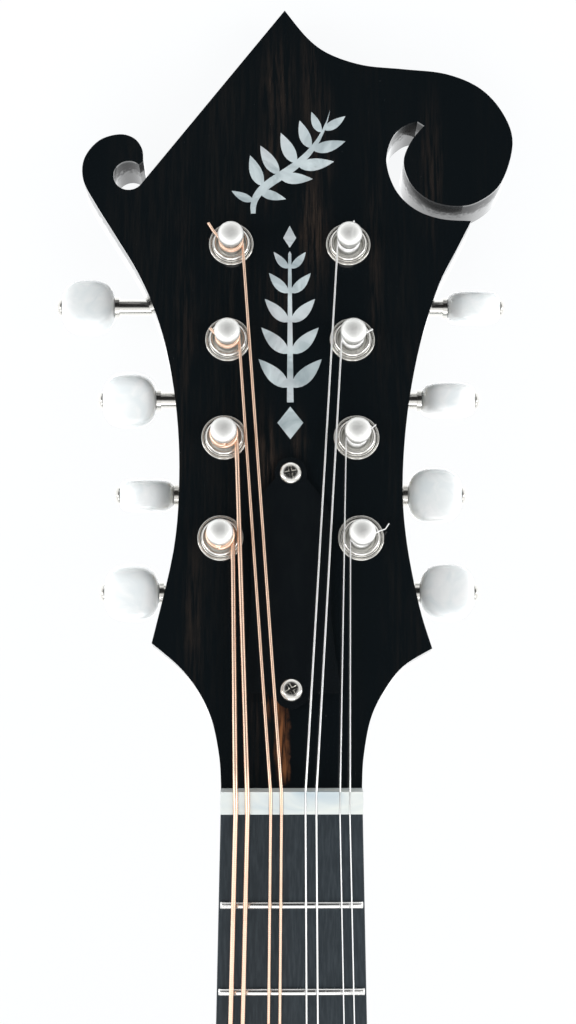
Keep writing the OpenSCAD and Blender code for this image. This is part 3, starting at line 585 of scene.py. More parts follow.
@dataclass(frozen=True)
class Finish:
    """Base of every finish: a name, and constants set straight on the shader."""

    name: str
    roughness: float = 0.4
    metallic: float = 0.0
    coat: float = 0.0
    coat_roughness: float = 0.03
    specular: float = 0.5

    def start(self) -> tuple[Material, Shader, Node, Socket]:
        """Makes the material with its Principled shader and object coordinates.

        Returns:
            The material, the builder, the Principled node and the coordinate socket.
        """
        material = bpy.data.materials.new(self.name)
        material.use_nodes = True
        material.node_tree.nodes.clear()
        s = Shader(material.node_tree)
        shell = s.add("BsdfPrincipled")
        s.feed(shell, Roughness=self.roughness, Metallic=self.metallic, Coat_Weight=self.coat)
        s.feed(shell, Coat_Roughness=self.coat_roughness, Specular_IOR_Level=self.specular)
        s.add("OutputMaterial", {"Surface": shell.outputs[0]})
        return material, s, shell, s.add("TexCoord").outputs["Object"]

    @staticmethod
    def group(s: Shader, tree: Tree, **values: Any) -> Any:
        """Places a shared effect, sets its named inputs and returns its outputs."""
        return s.feed(s.add("Group", node_tree=tree), **values).outputs

    def fibres(
        self, s: Shader, effects: Effects, where: Socket, fineness: float, waviness: float,
        squeeze: Colour = (1.0, 0.05, 1.0),
    ) -> Any:
        """Places wood grain that is drawn out along the instrument.

        Args:
            s: Builder of the material.
            effects: Shared groups.
            where: Coordinates of the surface.
            fineness: Scale of the fibres.
            waviness: How far they wander, in metres.
            squeeze: Scale of texture space that draws the fibres out.

        Returns:
            The outputs of the grain group.
        """
        long = s.drawn(where, squeeze)
        return self.group(s, effects.grain, Vector=long, Fineness=fineness, Waviness=waviness)

    def rougher(
        self, s: Shader, value: Any, more: float, low: float = 0.3, high: float = 0.8
    ) -> Socket:
        """Roughness that rises by `more` above the finish's own as a value goes low to high."""
        return s.remap(value, low, high, self.roughness, self.roughness + more)

    @staticmethod
    def bump(s: Shader, shell: Node, height: Any, strength: float, depth: float) -> None:
        """Feeds a height, with its depth in millimetres, through a Bump node to the normal."""
        node = s.add("Bump", {"Height": height, "Strength": strength, "Distance": depth * MM})
        s.feed(shell, Normal=node.outputs[0])

    def build(self, effects: Effects) -> Material:
        """Builds the material; each finish has its own recipe.

        Args:
            effects: Shared groups.

        Returns:
            The material.
        """
        raise NotImplementedError


@dataclass(frozen=True)
class LacqueredEbony(Finish):
    """Black headplate under gloss lacquer, with brown heartwood streaks.

    A streak is (across, along, half width, half length, weight), in millimetres from the nut.
    """

    base: Colour = (0.0032, 0.0052, 0.0066)
    fibre: Colour = (0.0110, 0.0105, 0.0100)
    streak: Colour = (0.036, 0.026, 0.0205)
    bright: Colour = (0.23, 0.092, 0.038)
    dust: Colour = (0.2, 0.21, 0.22)
    gloss_depth: float = 0.45 * MM
    coat_below: float = 0.04
    faint: tuple[tuple[float, ...], ...] = (
        (-2.6, 163.0, 3.2, 12.0, 0.8),
        (4.8, 164.0, 2.0, 14.0, 0.6),
        (7.6, 150.0, 2.6, 12.0, 0.7),
        (-4.6, 143.0, 2.4, 9.0, 0.8),
        (5.4, 128.0, 3.0, 14.0, 1.0),
        (-2.6, 110.0, 3.4, 10.0, 0.5),
        (-5.2, 74.5, 2.6, 8.0, 0.9),
        (1.8, 78.0, 1.6, 6.0, 0.6),
        (33.0, 143.0, 2.4, 16.0, 0.5),
        (-24.0, 100.0, 1.8, 34.0, 0.4),
        (-21.6, 38.0, 1.8, 16.0, 0.5),
        (-6.0, 12.0, 2.2, 10.0, 0.7),
        (19.5, 118.0, 1.6, 26.0, 0.4),
    )
    strong: tuple[tuple[float, ...], ...] = (
        (-2.1, 10.5, 1.5, 7.5, 1.0),
        (-3.6, 17.5, 1.7, 3.0, 1.0),
        (-1.5, 5.0, 1.0, 3.5, 1.0),
    )

    def streaks(
        self, s: Shader, effects: Effects, local: Socket, rows: Sequence[tuple[float, ...]]
    ) -> Socket:
        """Mask of several streaks, the strongest wherever they cross.

        Args:
            s: Builder of the material.
            effects: Shared groups.
            local: Coordinates in the frame of the headstock face.
            rows: The streaks.

        Returns:
            The mask.
        """
        total = None
        for *sizes, weight in rows:
            across, along, width, length = [size * MM for size in sizes]
            mask = self.group(
                s, effects.streak, Vector=local, Across=across, Along=along,
                Half_Width=width, Half_Length=length,
            )[0]
            part = s.times(mask, weight)
            total = part if total is None else s.math("MAXIMUM", total, part)
        return total

    def build(self, effects: Effects) -> Material:
        """Builds the lacquered headplate.

        Args:
            effects: Shared groups.

        Returns:
            The material.
        """
        material, s, shell, where = self.start()
        local = s.head_space(where)
        depth = s.add("SeparateXYZ", {0: local}).outputs[2]
        gloss = s.remap(depth, -self.gloss_depth, -2 * self.gloss_depth, self.coat, self.coat_below)
        grain = self.fibres(s, effects, local, 1500.0, 0.0006, (1.0, 0.055, 1.0))
        lines, height = grain["Lines"], grain["Height"]
        everywhere = s.remap(grain["Figure"], 0.45, 0.75, 0.0, 0.9)
        colour = s.mix(s.times(everywhere, lines), self.base, self.fibre)
        faint = self.streaks(s, effects, local, self.faint)
        colour = s.mix(s.times(faint, lines), colour, self.streak)
        strong = s.remap(self.streaks(s, effects, local, self.strong), 0.1, 0.85)
        colour = s.mix(s.times(strong, s.remap(height, 0.4, 0.6)), colour, self.bright)
        specks = s.remap(s.noise(where, 2600.0, detail=1.0), 0.82, 0.86)
        colour = s.mix(s.times(specks, 0.5), colour, self.dust)
        smudge = self.group(s, effects.scratches, Vector=where, Scale=0.6)["Smudge"]
        s.feed(shell, Base_Color=colour, Coat_Weight=gloss, Roughness=self.rougher(s, smudge, 0.1))
        self.bump(s, shell, height, strength=0.03, depth=0.02)
        return material


@dataclass(frozen=True)
class PearlInlay(Finish):
    """Cool grey shell with soft colour play."""

    low: Colour = (0.30, 0.36, 0.38)
    high: Colour = (0.62, 0.70, 0.72)
    warm: Colour = (0.62, 0.58, 0.60)
    scale: float = 110.0
    stretch: float = 1.0

    def build(self, effects: Effects) -> Material:
        """Builds the shell finish.

        Args:
            effects: Shared groups.

        Returns:
            The material.
        """
        material, s, shell, where = self.start()
        drawn = s.drawn(where, (self.stretch, 1.0, 1.0))
        clouds = self.group(s, effects.clouds, Vector=drawn, Scale=self.scale, Fold=0.8)
        shade = s.remap(clouds["Cloud"], 0.3, 0.7)
        tint = s.times(s.remap(clouds["Drift"], 0.5, 0.75), 0.4)
        colour = s.mix(tint, s.mix(shade, self.low, self.high), self.warm)
        s.feed(shell, Base_Color=colour, Roughness=self.rougher(s, shade, 0.12, 0.0, 1.0))
        self.bump(s, shell, clouds["Cloud"], strength=0.05, depth=0.05)
        return material


@dataclass(frozen=True)
class KnobPearl(Finish):
    """Milky pearloid with folded clouds below a polished skin."""

    milk: Colour = (0.83, 0.88, 0.895)
    snow: Colour = (0.935, 0.97, 0.975)
    glow: float = 0.5
    glow_radius: float = 5.0 * MM

    def build(self, effects: Effects) -> Material:
        """Builds the pearloid.

        Args:
            effects: Shared groups.

        Returns:
            The material.
        """
        material, s, shell, where = self.start()
        cloud = self.group(s, effects.clouds, Vector=where, Scale=170.0, Fold=1.4)["Cloud"]
        colour = s.mix(s.remap(cloud, 0.35, 0.65), self.milk, self.snow)
        smudge = self.group(s, effects.scratches, Vector=where, Scale=0.8)["Smudge"]
        s.feed(shell, Base_Color=colour, Roughness=self.rougher(s, smudge, 0.15))
        s.feed(shell, Subsurface_Weight=self.glow, Subsurface_Scale=1.0)
        s.feed(shell, Subsurface_Radius=(self.glow_radius,) * 3)
        return material


@dataclass(frozen=True)
class Metal(Finish):
    """Plated or bare metal with hairlines, smudges and worn edges."""

    base: Colour = (0.72, 0.71, 0.68)
    dull: Colour = (0.50, 0.49, 0.46)
    hairlines: float = 0.5
    wear: float = 0.4
    metallic: float = 1.0

    def build(self, effects: Effects) -> Material:
        """Builds the metal.

        Args:
            effects: Shared groups.

        Returns:
            The material.
        """
        material, s, shell, where = self.start()
        lines, smudge = self.group(s, effects.scratches, Vector=where, Scale=1.0)
        worn = self.group(s, effects.wear, Vector=where, Amount=self.wear)[0]
        colour = s.mix(s.remap(smudge, 0.45, 0.85, 0.0, 0.7), self.base, self.dull)
        streaky = s.times(lines, 0.14 * self.hairlines)
        rough = s.math("ADD", self.rougher(s, smudge, 0.12), streaky, clamp=True)
        s.feed(shell, Base_Color=s.mix(worn, colour, self.dull), Roughness=rough)
        self.bump(s, shell, lines, strength=0.05 * self.hairlines, depth=0.01)
        return material


@dataclass(frozen=True)
class WoundWire(Finish):
    """Bronze wrap wire: fine ridges across the string, with painted shade in the grooves between them.
    """

    base: Colour = (0.96, 0.69, 0.53)
    groove: Colour = (0.60, 0.37, 0.26)
    metallic: float = 1.0

    def build(self, effects: Effects) -> Material:
        """Builds the wound string finish.

        Args:
            effects: Shared groups.

        Returns:
            The material.
        """
        material, s, shell, where = self.start()
        values = {"Vector": where, "Scale": 700.0, "Distortion": 0.4}
        ridge = s.add("TexWave", values, bands_direction="Y").outputs[1]
        smudge = self.group(s, effects.scratches, Vector=where, Scale=1.0)["Smudge"]
        # Painted shade: the low parts of the ridges, the gaps between wraps, darken toward the groove
        # tone; smudges below darken toward the same tone.
        colour = s.mix(s.remap(ridge, 0.0, 0.5, 0.28, 0.0), self.base, self.groove)
        colour = s.mix(s.remap(smudge, 0.5, 0.8, 0.0, 0.4), colour, self.groove)
        s.feed(shell, Base_Color=colour, Roughness=self.rougher(s, smudge, 0.15, 0.0, 1.0))
        self.bump(s, shell, ridge, strength=0.15, depth=0.04)
        return material


@dataclass(frozen=True)
class OiledEbony(Finish):
    """Matt black board wood with pores and a fine lengthwise grain."""

    base: Colour = (0.011, 0.018, 0.024)
    light: Colour = (0.024, 0.034, 0.042)

    def build(self, effects: Effects) -> Material:
        """Builds the board wood.

        Args:
            effects: Shared groups.

        Returns:
            The material.
        """
        material, s, shell, where = self.start()
        grain = self.fibres(s, effects, where, 1900.0, 0.0004)
        colour = s.mix(grain["Lines"], self.base, self.light)
        rough = self.rougher(s, grain["Figure"], 0.14, 0.0, 1.0)
        s.feed(shell, Base_Color=colour, Roughness=rough)
        self.bump(s, shell, grain["Height"], strength=0.22, depth=0.06)
        return material


@dataclass(frozen=True)
class Sunburst(Finish):
    """Shaded lacquer over wood: amber in the middle, brown to black toward the edges."""

    amber: Colour = (0.72, 0.30, 0.055)
    brown: Colour = (0.23, 0.055, 0.014)
    black: Colour = (0.018, 0.008, 0.005)
    dark_grain: Colour = (0.4, 0.28, 0.2)
    dark_flame: Colour = (0.36, 0.25, 0.18)
    middle: Point2 = (0.0, 0.135)
    spread: Point2 = (0.118, 0.135)
    flame: float = 0.0
    fineness: float = 900.0

    def flamed(self, s: Shader, where: Socket, colour: Socket) -> Socket:
        """Darkens a colour in the ragged cross stripes of flamed wood.

        Args:
            s: Builder of the material.
            where: Coordinates of the surface.
            colour: Colour before the stripes.

        Returns:
            The striped colour.
        """
        across = s.drawn(where, (0.16, 1.0, 0.3), 0.12)
        values = {"Vector": across, "Scale": 150.0, "Detail": 2.0, "Distortion": 0.6}
        stripe = s.remap(s.add("TexNoise", values).outputs[0], 0.4, 0.62)
        return s.mix(s.times(stripe, self.flame), colour, self.dark_flame, "MULTIPLY")

    def build(self, effects: Effects) -> Material:
        """Builds the shaded lacquer.

        Args:
            effects: Shared groups.

        Returns:
            The material.
        """
        material, s, shell, where = self.start()
        grain = self.fibres(s, effects, where, self.fineness, 0.0007)
        parts = s.add("SeparateXYZ", {0: where}).outputs
        x, y = [s.minus(parts[axis], self.middle[axis]) for axis in (0, 1)]
        far = s.math("SQRT", s.squares(x, self.spread[0], y, self.spread[1]))
        shade = s.math("ADD", far, s.waver(where, 14.0, 3.0, 0.5, reach=0.22))
        colour = s.ramp(shade, ((0.22, self.amber), (0.62, self.brown), (0.98, self.black)))
        colour = s.mix(s.times(grain["Lines"], 0.34), colour, self.dark_grain, "MULTIPLY")
        if self.flame:
            colour = self.flamed(s, where, colour)
        smudge = self.group(s, effects.scratches, Vector=where, Scale=0.5)["Smudge"]
        s.feed(shell, Base_Color=colour, Roughness=self.rougher(s, smudge, 0.1))
        self.bump(s, shell, grain["Height"], strength=0.04, depth=0.03)
        return material


@dataclass(frozen=True)
class NeckLacquer(Finish):
    """Neck shading: red-brown along the neck, black at the headstock and heel."""

    brown: Colour = (0.20, 0.055, 0.018)
    black: Colour = (0.0045, 0.0045, 0.005)
    dark_grain: Colour = (0.35, 0.25, 0.2)
    bare_from: float = 0.36
    bare_to: float = 0.46
    fade: float = 0.05
    shaded_to: float = -4.2 * MM
    glossy_from: float = -6.8 * MM
    shaded_coat: float = 0.05

    def build(self, effects: Effects) -> Material:
        """Builds the neck lacquer.

        Args:
            effects: Shared groups.

        Returns:
            The material.
        """
        material, s, shell, where = self.start()
        depth = s.add("SeparateXYZ", {0: s.head_space(where)}).outputs[2]
        ragged = s.math("ADD", depth, s.waver(where, 800.0, 5.0, 0.75, reach=12.0 * MM))
        gloss = s.remap(ragged, self.shaded_to, self.glossy_from, self.shaded_coat, 1.0)
        grain = self.fibres(s, effects, where, 1100.0, 0.0006)
        y = s.add("SeparateXYZ", {0: where}).outputs[1]
        up = s.remap(y, self.bare_from - self.fade, self.bare_from)
        down = s.remap(y, self.bare_to, self.bare_to + self.fade, 1.0, 0.0)
        colour = s.mix(s.times(up, down), self.black, self.brown)
        colour = s.mix(s.times(grain["Lines"], 0.3), colour, self.dark_grain, "MULTIPLY")
        smudge = self.group(s, effects.scratches, Vector=where, Scale=0.6)["Smudge"]
        s.feed(shell, Base_Color=colour, Coat_Weight=gloss, Roughness=self.rougher(s, smudge, 0.1))
        self.bump(s, shell, grain["Height"], strength=0.03, depth=0.03)
        return material


@dataclass(frozen=True)
class PlainStuff(Finish):
    """Plastic, bone or bare inner wood: two close tones, faint lines and worn edges."""

    base: Colour = (0.8, 0.75, 0.6)
    second: Colour = (0.7, 0.62, 0.45)
    squeeze: Colour = (1.0, 0.06, 1.0)
    fineness: float = 500.0
    relief: float = 0.05

    def build(self, effects: Effects) -> Material:
        """Builds the finish.

        Args:
            effects: Shared groups.

        Returns:
            The material.
        """
        material, s, shell, where = self.start()
        grain = self.fibres(s, effects, where, self.fineness, 0.0008, self.squeeze)
        worn = self.group(s, effects.wear, Vector=where, Amount=0.4)[0]
        colour = s.mix(s.times(grain["Lines"], 0.6), self.base, self.second)
        rough = self.rougher(s, grain["Figure"], 0.1, 0.0, 1.0)
        s.feed(shell, Base_Color=s.mix(worn, colour, self.second), Roughness=rough)
        self.bump(s, shell, grain["Height"], self.relief, depth=0.05)
        return material


class FinishBook:
    """All the finishes of the instrument, one material for each record slot."""

    def __init__(self) -> None:
        """Builds every material once."""
        effects = Effects()
        recipes: dict[str, Finish] = {
            "sunburst_spruce": Sunburst("spruce_sunburst", roughness=0.14, coat=0.6),
            "sunburst_maple": Sunburst(
                "maple_sunburst", roughness=0.14, coat=0.6, flame=0.75, fineness=1300.0,
                amber=(0.55, 0.17, 0.03), spread=(0.112, 0.13),
            ),
            "neck_lacquer": NeckLacquer("neck_lacquer", roughness=0.1, specular=0.12),
            "inner_wood": PlainStuff(
                "bare_spruce", roughness=0.6, base=(0.62, 0.42, 0.22), second=(0.45, 0.27, 0.12)
            ),
            "ivory_binding": PlainStuff(
                "ivory_binding", roughness=0.25, coat=0.3, relief=0.02,
                base=(0.80, 0.74, 0.58), second=(0.70, 0.60, 0.40),
            ),
            "rod_steel": Metal(
                "rod_steel", roughness=0.35, base=(0.42, 0.42, 0.43), dull=(0.25, 0.25, 0.26)
            ),
            "black_headplate": LacqueredEbony(
                "lacquered_ebony", roughness=0.12, coat=0.9, specular=0.12
            ),
            "pearl": PearlInlay("shell_inlay", roughness=0.22, coat=0.25),
            "cover_black": PlainStuff(
                "gloss_black_cover", roughness=0.08, coat=1.0, relief=0.01,
                base=(0.003, 0.0045, 0.006), second=(0.005, 0.007, 0.008),
            ),
            "nickel": Metal(
                "polished_nickel", roughness=0.12, base=(0.64, 0.63, 0.60), dull=(0.46, 0.45, 0.42)
            ),
            "ebony": OiledEbony("oiled_ebony", roughness=0.42, specular=0.25),
            "fret_wire": Metal(
                "fret_wire", roughness=0.17, hairlines=1.0,
                base=(0.76, 0.76, 0.75), dull=(0.52, 0.52, 0.51),
            ),
            "nut_pearl": PearlInlay(
                "nut_pearl", roughness=0.28, scale=150.0, stretch=0.3,
                low=(0.46, 0.54, 0.58), high=(0.68, 0.71, 0.68), warm=(0.72, 0.66, 0.50),
            ),
            "satin_nickel": Metal(
                "satin_nickel", roughness=0.42, metallic=0.8, hairlines=1.0,
                base=(0.82, 0.825, 0.805), dull=(0.66, 0.66, 0.64),
            ),
            "gear_brass": Metal(
                "gear_brass", roughness=0.3, base=(0.62, 0.45, 0.18), dull=(0.38, 0.26, 0.1)
            ),
            "knob_pearl": KnobPearl("pearloid", roughness=0.12, coat=0.5),
            "bronze_wound": WoundWire("bronze_wound", roughness=0.26),
            "plain_steel": Metal(
                "string_steel", roughness=0.3, hairlines=0.2, wear=0.0,
                base=(0.96, 0.96, 0.955), dull=(0.84, 0.84, 0.84),
            ),
            "bridge_ebony": OiledEbony(
                "bridge_ebony", roughness=0.35, base=(0.02, 0.017, 0.016), light=(0.045, 0.035, 0.03)
            ),
            "brass": Metal(
                "bright_brass", roughness=0.2, base=(0.78, 0.58, 0.26), dull=(0.5, 0.35, 0.14)
            ),
        }
        self.materials = {slot: recipe.build(effects) for slot, recipe in recipes.items()}

    def dress(self, piece: Piece, finish: str, slot: str | None = None) -> None:
        """Gives a piece one finish.

        Args:
            piece: Object to dress.
            finish: Key of the finish.
            slot: Not used.
        """
        piece.data.materials.clear()
        piece.data.materials.append(self.materials[finish])


@dataclass(frozen=True)
class NodeCopy:
    """How a CAD node is copied: rounding in millimetres, faces across it, corner angle."""

    node: str
    rounding: float
    segments: int = 2
    sharp: float = 32.0
    finish: str | None = None


class Workshop:
    """What every sub-assembly needs: the frame, its bodies, joints and slots, and the finishes."""

    weld: float = 0.002 * MM
    flat: float = math.radians(0.6)

    def __init__(self, frame: dict[str, Any], book: FinishBook) -> None:
        """Keeps the frame and the finishes.

        Args:
            frame: The loaded frame.
            book: All the finishes.
        """
        self.frame = frame
        self.book = book
        self.bodies = frame["record"]["behaviour"]["bodies"]
        self.joints = {joint["name"]: joint for joint in frame["joints"]}
        self.slots = {row["node"]: row["material_slot"] for row in frame["record"]["subparts"]}

    def body_of(self, node: str) -> str:
        """Name of the body that holds a CAD node."""
        return next(body for body, nodes in self.bodies.items() if node in nodes)

    def place(self, bm: BMesh, node: str, sharp: float, finish: str | None = None) -> Piece:
        """Makes the piece that stands for a CAD node, on its body and in its finish.

        Args:
            bm: Geometry of the piece.
            node: CAD node that it stands for.
            sharp: Edges sharper than this many degrees keep a hard shade.
            finish: Finish, when it isn't the node's own slot.

        Returns:
            The new piece.
        """
        piece = link_mesh(node + "_made", bm, sharp)
        self.book.dress(piece, finish or self.slots[node], self.slots[node])
        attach(piece, self.body_of(node))
        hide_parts(node)
        LOG.info("%s stands for %s", piece.name, node)
        return piece

    def refine(self, copy: NodeCopy) -> Piece:
        """Copies a CAD node into a clean mesh with rounded edges and smooth curves.

        Args:
            copy: The node and its sizes; a rounding of 0 leaves its edges crisp.

        Returns:
            The new piece.
        """
        bm = bmesh.new()
        bm.from_mesh(self.frame["nodes"][copy.node].data)
        for layer in list(bm.loops.layers.float_vector):
            bm.loops.layers.float_vector.remove(layer)
        bmesh.ops.remove_doubles(bm, verts=bm.verts, dist=self.weld)
        bmesh.ops.dissolve_limit(bm, angle_limit=self.flat, verts=bm.verts, edges=bm.edges)
        clear_walls(bm)
        piece = self.place(bm, copy.node, copy.sharp, copy.finish)
        if copy.rounding:
            add_bevel(piece, copy.rounding * MM, copy.segments, copy.sharp)
        return piece


# ---- sub-assemblies --------------------------------------------------------------------------


@dataclass
class Assembly:
    """Base of every sub-assembly: the workshop, and the CAD nodes that it copies."""

    shop: Workshop
    copies: tuple[NodeCopy, ...] = ()

    def own(self) -> list[Piece]:
        """Makes the pieces that aren't copies; a sub-assembly without any keeps this."""
        return []

    def build(self) -> list[Piece]:
        """Makes the copies and then the other pieces, and returns them all."""
        return [self.shop.refine(copy) for copy in self.copies] + self.own()


@dataclass(frozen=True)
class OvalScrew:
    """Domed screw head with a cross recess, and its shank; sizes in millimetres.

    The lip is the share of the rise that stands straight, and the slot fields are shares of the
    radius and of the rise.
    """

    radius: float
    rise: float
    shank_radius: float
    shank_length: float
    tip_taper: float = 0.8
    tip_length: float = 0.2
    seat: float = 0.97
    lip: float = 0.12
    roundness: float = 0.85
    slot_reach: float = 0.62
    slot_half: float = 0.13
    slot_depth: float = 0.45
    slot_from: float = 0.13
    least: float = 0.02
    steps: int = 96
    dome_rings: int = 22

    def profile(self) -> list[Point2]:
        """Radius and height of each ring, from the tip of the shank to the top of the dome.

        Returns:
            The points.
        """
        tip, shank = -self.shank_length, self.shank_radius
        points = [(0.0, tip), (shank * self.tip_taper, tip), (shank, tip + self.tip_length)]
        points += [(shank, 0.0), (self.radius * self.seat, 0.0)]
        for j in range(self.dome_rings + 1):
            a = math.pi / 2 * j / self.dome_rings
            height = self.rise * (self.lip + (1 - self.lip) * math.sin(a))
            points.append((self.radius * math.cos(a) ** self.roundness, height))
        return points

    def sunk(self, x: float, y: float, height: float) -> float:
        """Height of a point once the cross recess is cut.

        Args:
            x: First coordinate from the axis.
            y: Second coordinate from the axis.
            height: Height on the dome.

        Returns:
            The new height.
        """
        inner, outer = sorted((abs(x), abs(y)))
        in_slot = inner < self.slot_half * self.radius and outer < self.slot_reach * self.radius
        recessed = in_slot and height > self.slot_from * self.rise
        return height - self.slot_depth * self.rise if recessed else height

    def add(self, bm: BMesh, place: Matrix) -> None:
        """Adds one screw.

        Args:
            bm: Mesh that receives the screw.
            place: Frame at the seat of the head with +Z out of it.
        """
        rings = []
        for radius, height in self.profile():
            r = max(radius, self.least)
            spots = [(r * c, r * s) for c, s in circle(self.steps)]
            rings.append([place @ (Vector((x, y, self.sunk(x, y, height))) * MM) for x, y in spots])
        ring_surface(bm, rings)


@dataclass
class Body(Assembly):
    """Arched plates, ribs, linings, blocks and bindings of the sound box."""

    copies: tuple[NodeCopy, ...] = (
        NodeCopy("soundboard", 0.54, 3),
        NodeCopy("back_plate", 0.54, 3),
        NodeCopy("ribs", 0.25),
        NodeCopy("linings", 0.25),
        NodeCopy("blocks", 0.25),
        NodeCopy("bindings", 0.7, 3, sharp=50.0),
    )


@dataclass
class Neck(Assembly):
    """Neck with its headstock core, rod, fingerboard, frets and nut."""

    copies: tuple[NodeCopy, ...] = (
        NodeCopy("neck", 0.5, 3, finish="neck_lacquer"),
        NodeCopy("truss_rod", 0.1),
        NodeCopy("fingerboard", 0.35, 3),
        NodeCopy("nut", 0.45, 3, sharp=50.0),
    )
    fret_count: int = 24
    fret_half: float = 0.825
    fret_rise: float = 0.825
    fret_inset: float = 0.35
    fret_ends: tuple[Point2, ...] = ((0.0, 0.55), (0.12, 0.2), (0.45, 0.0))
    end_narrowing: float = 0.3
    crown_steps: int = 16
    nut_half: float = 15.15
    widening: float = 0.022

    def own(self) -> list[Piece]:
        """Fret wires with a round crown and slanted ends, as one piece.

        Each of fret_ends is a distance from the end of the wire and how far the crown drops there.

        Returns:
            The piece.
        """
        shape = NeckGeometry()
        frame, length = shape.neck_frame(), shape.scale_length / MM
        angles = [math.pi * k / self.crown_steps for k in range(self.crown_steps + 1)]
        bm = bmesh.new()
        for n in range(1, self.fret_count + 1):
            y = -length * (1 - 2 ** (-n / 12))
            reach = self.nut_half - self.widening * y - self.fret_inset
            stations = [(step - reach, drop) for step, drop in self.fret_ends]
            stations += [(-x, drop) for x, drop in reversed(stations)]
            rings = []
            for x, drop in stations:
                half = self.fret_half * (1 - self.end_narrowing * drop)
                rise = self.fret_rise * (1 - drop)
                spots = [(y + half * math.cos(a), rise * math.sin(a)) for a in angles]
                rings.append([frame @ (Vector((x, along, up)) * MM) for along, up in spots])
            ring_surface(bm, rings)
        return [self.shop.place(bm, "frets", 50.0)]


@dataclass
class Headplate(Assembly):
    """Lacquered headplate with its shell inlay, truss-rod cover and screws."""

    copies: tuple[NodeCopy, ...] = (
        NodeCopy("headplate", 0.45, 3, sharp=40.0),
        NodeCopy("head_inlay", 0.05, 1),
        NodeCopy("truss_rod_cover", 0.3, 3, sharp=40.0),
    )
    cover_top: float = 1.22 * MM
    screw: OvalScrew = OvalScrew(2.42, 1.0, 1.0, 3.0)
    screw_places: tuple[Point2, ...] = ((20.9, 0.5), (69.3, 0.16))

    def own(self) -> list[Piece]:
        """The two screws of the truss-rod cover, as one piece.

        Returns:
            The piece.
        """
        head = NeckGeometry().head_frame()
        bm = bmesh.new()
        for along, turn in self.screw_places:
            seat = Matrix.Translation((0, along * MM, self.cover_top))
            self.screw.add(bm, head @ seat @ Matrix.Rotation(turn, 4, "Z"))
        return [self.shop.place(bm, "cover_screws", 40.0)]


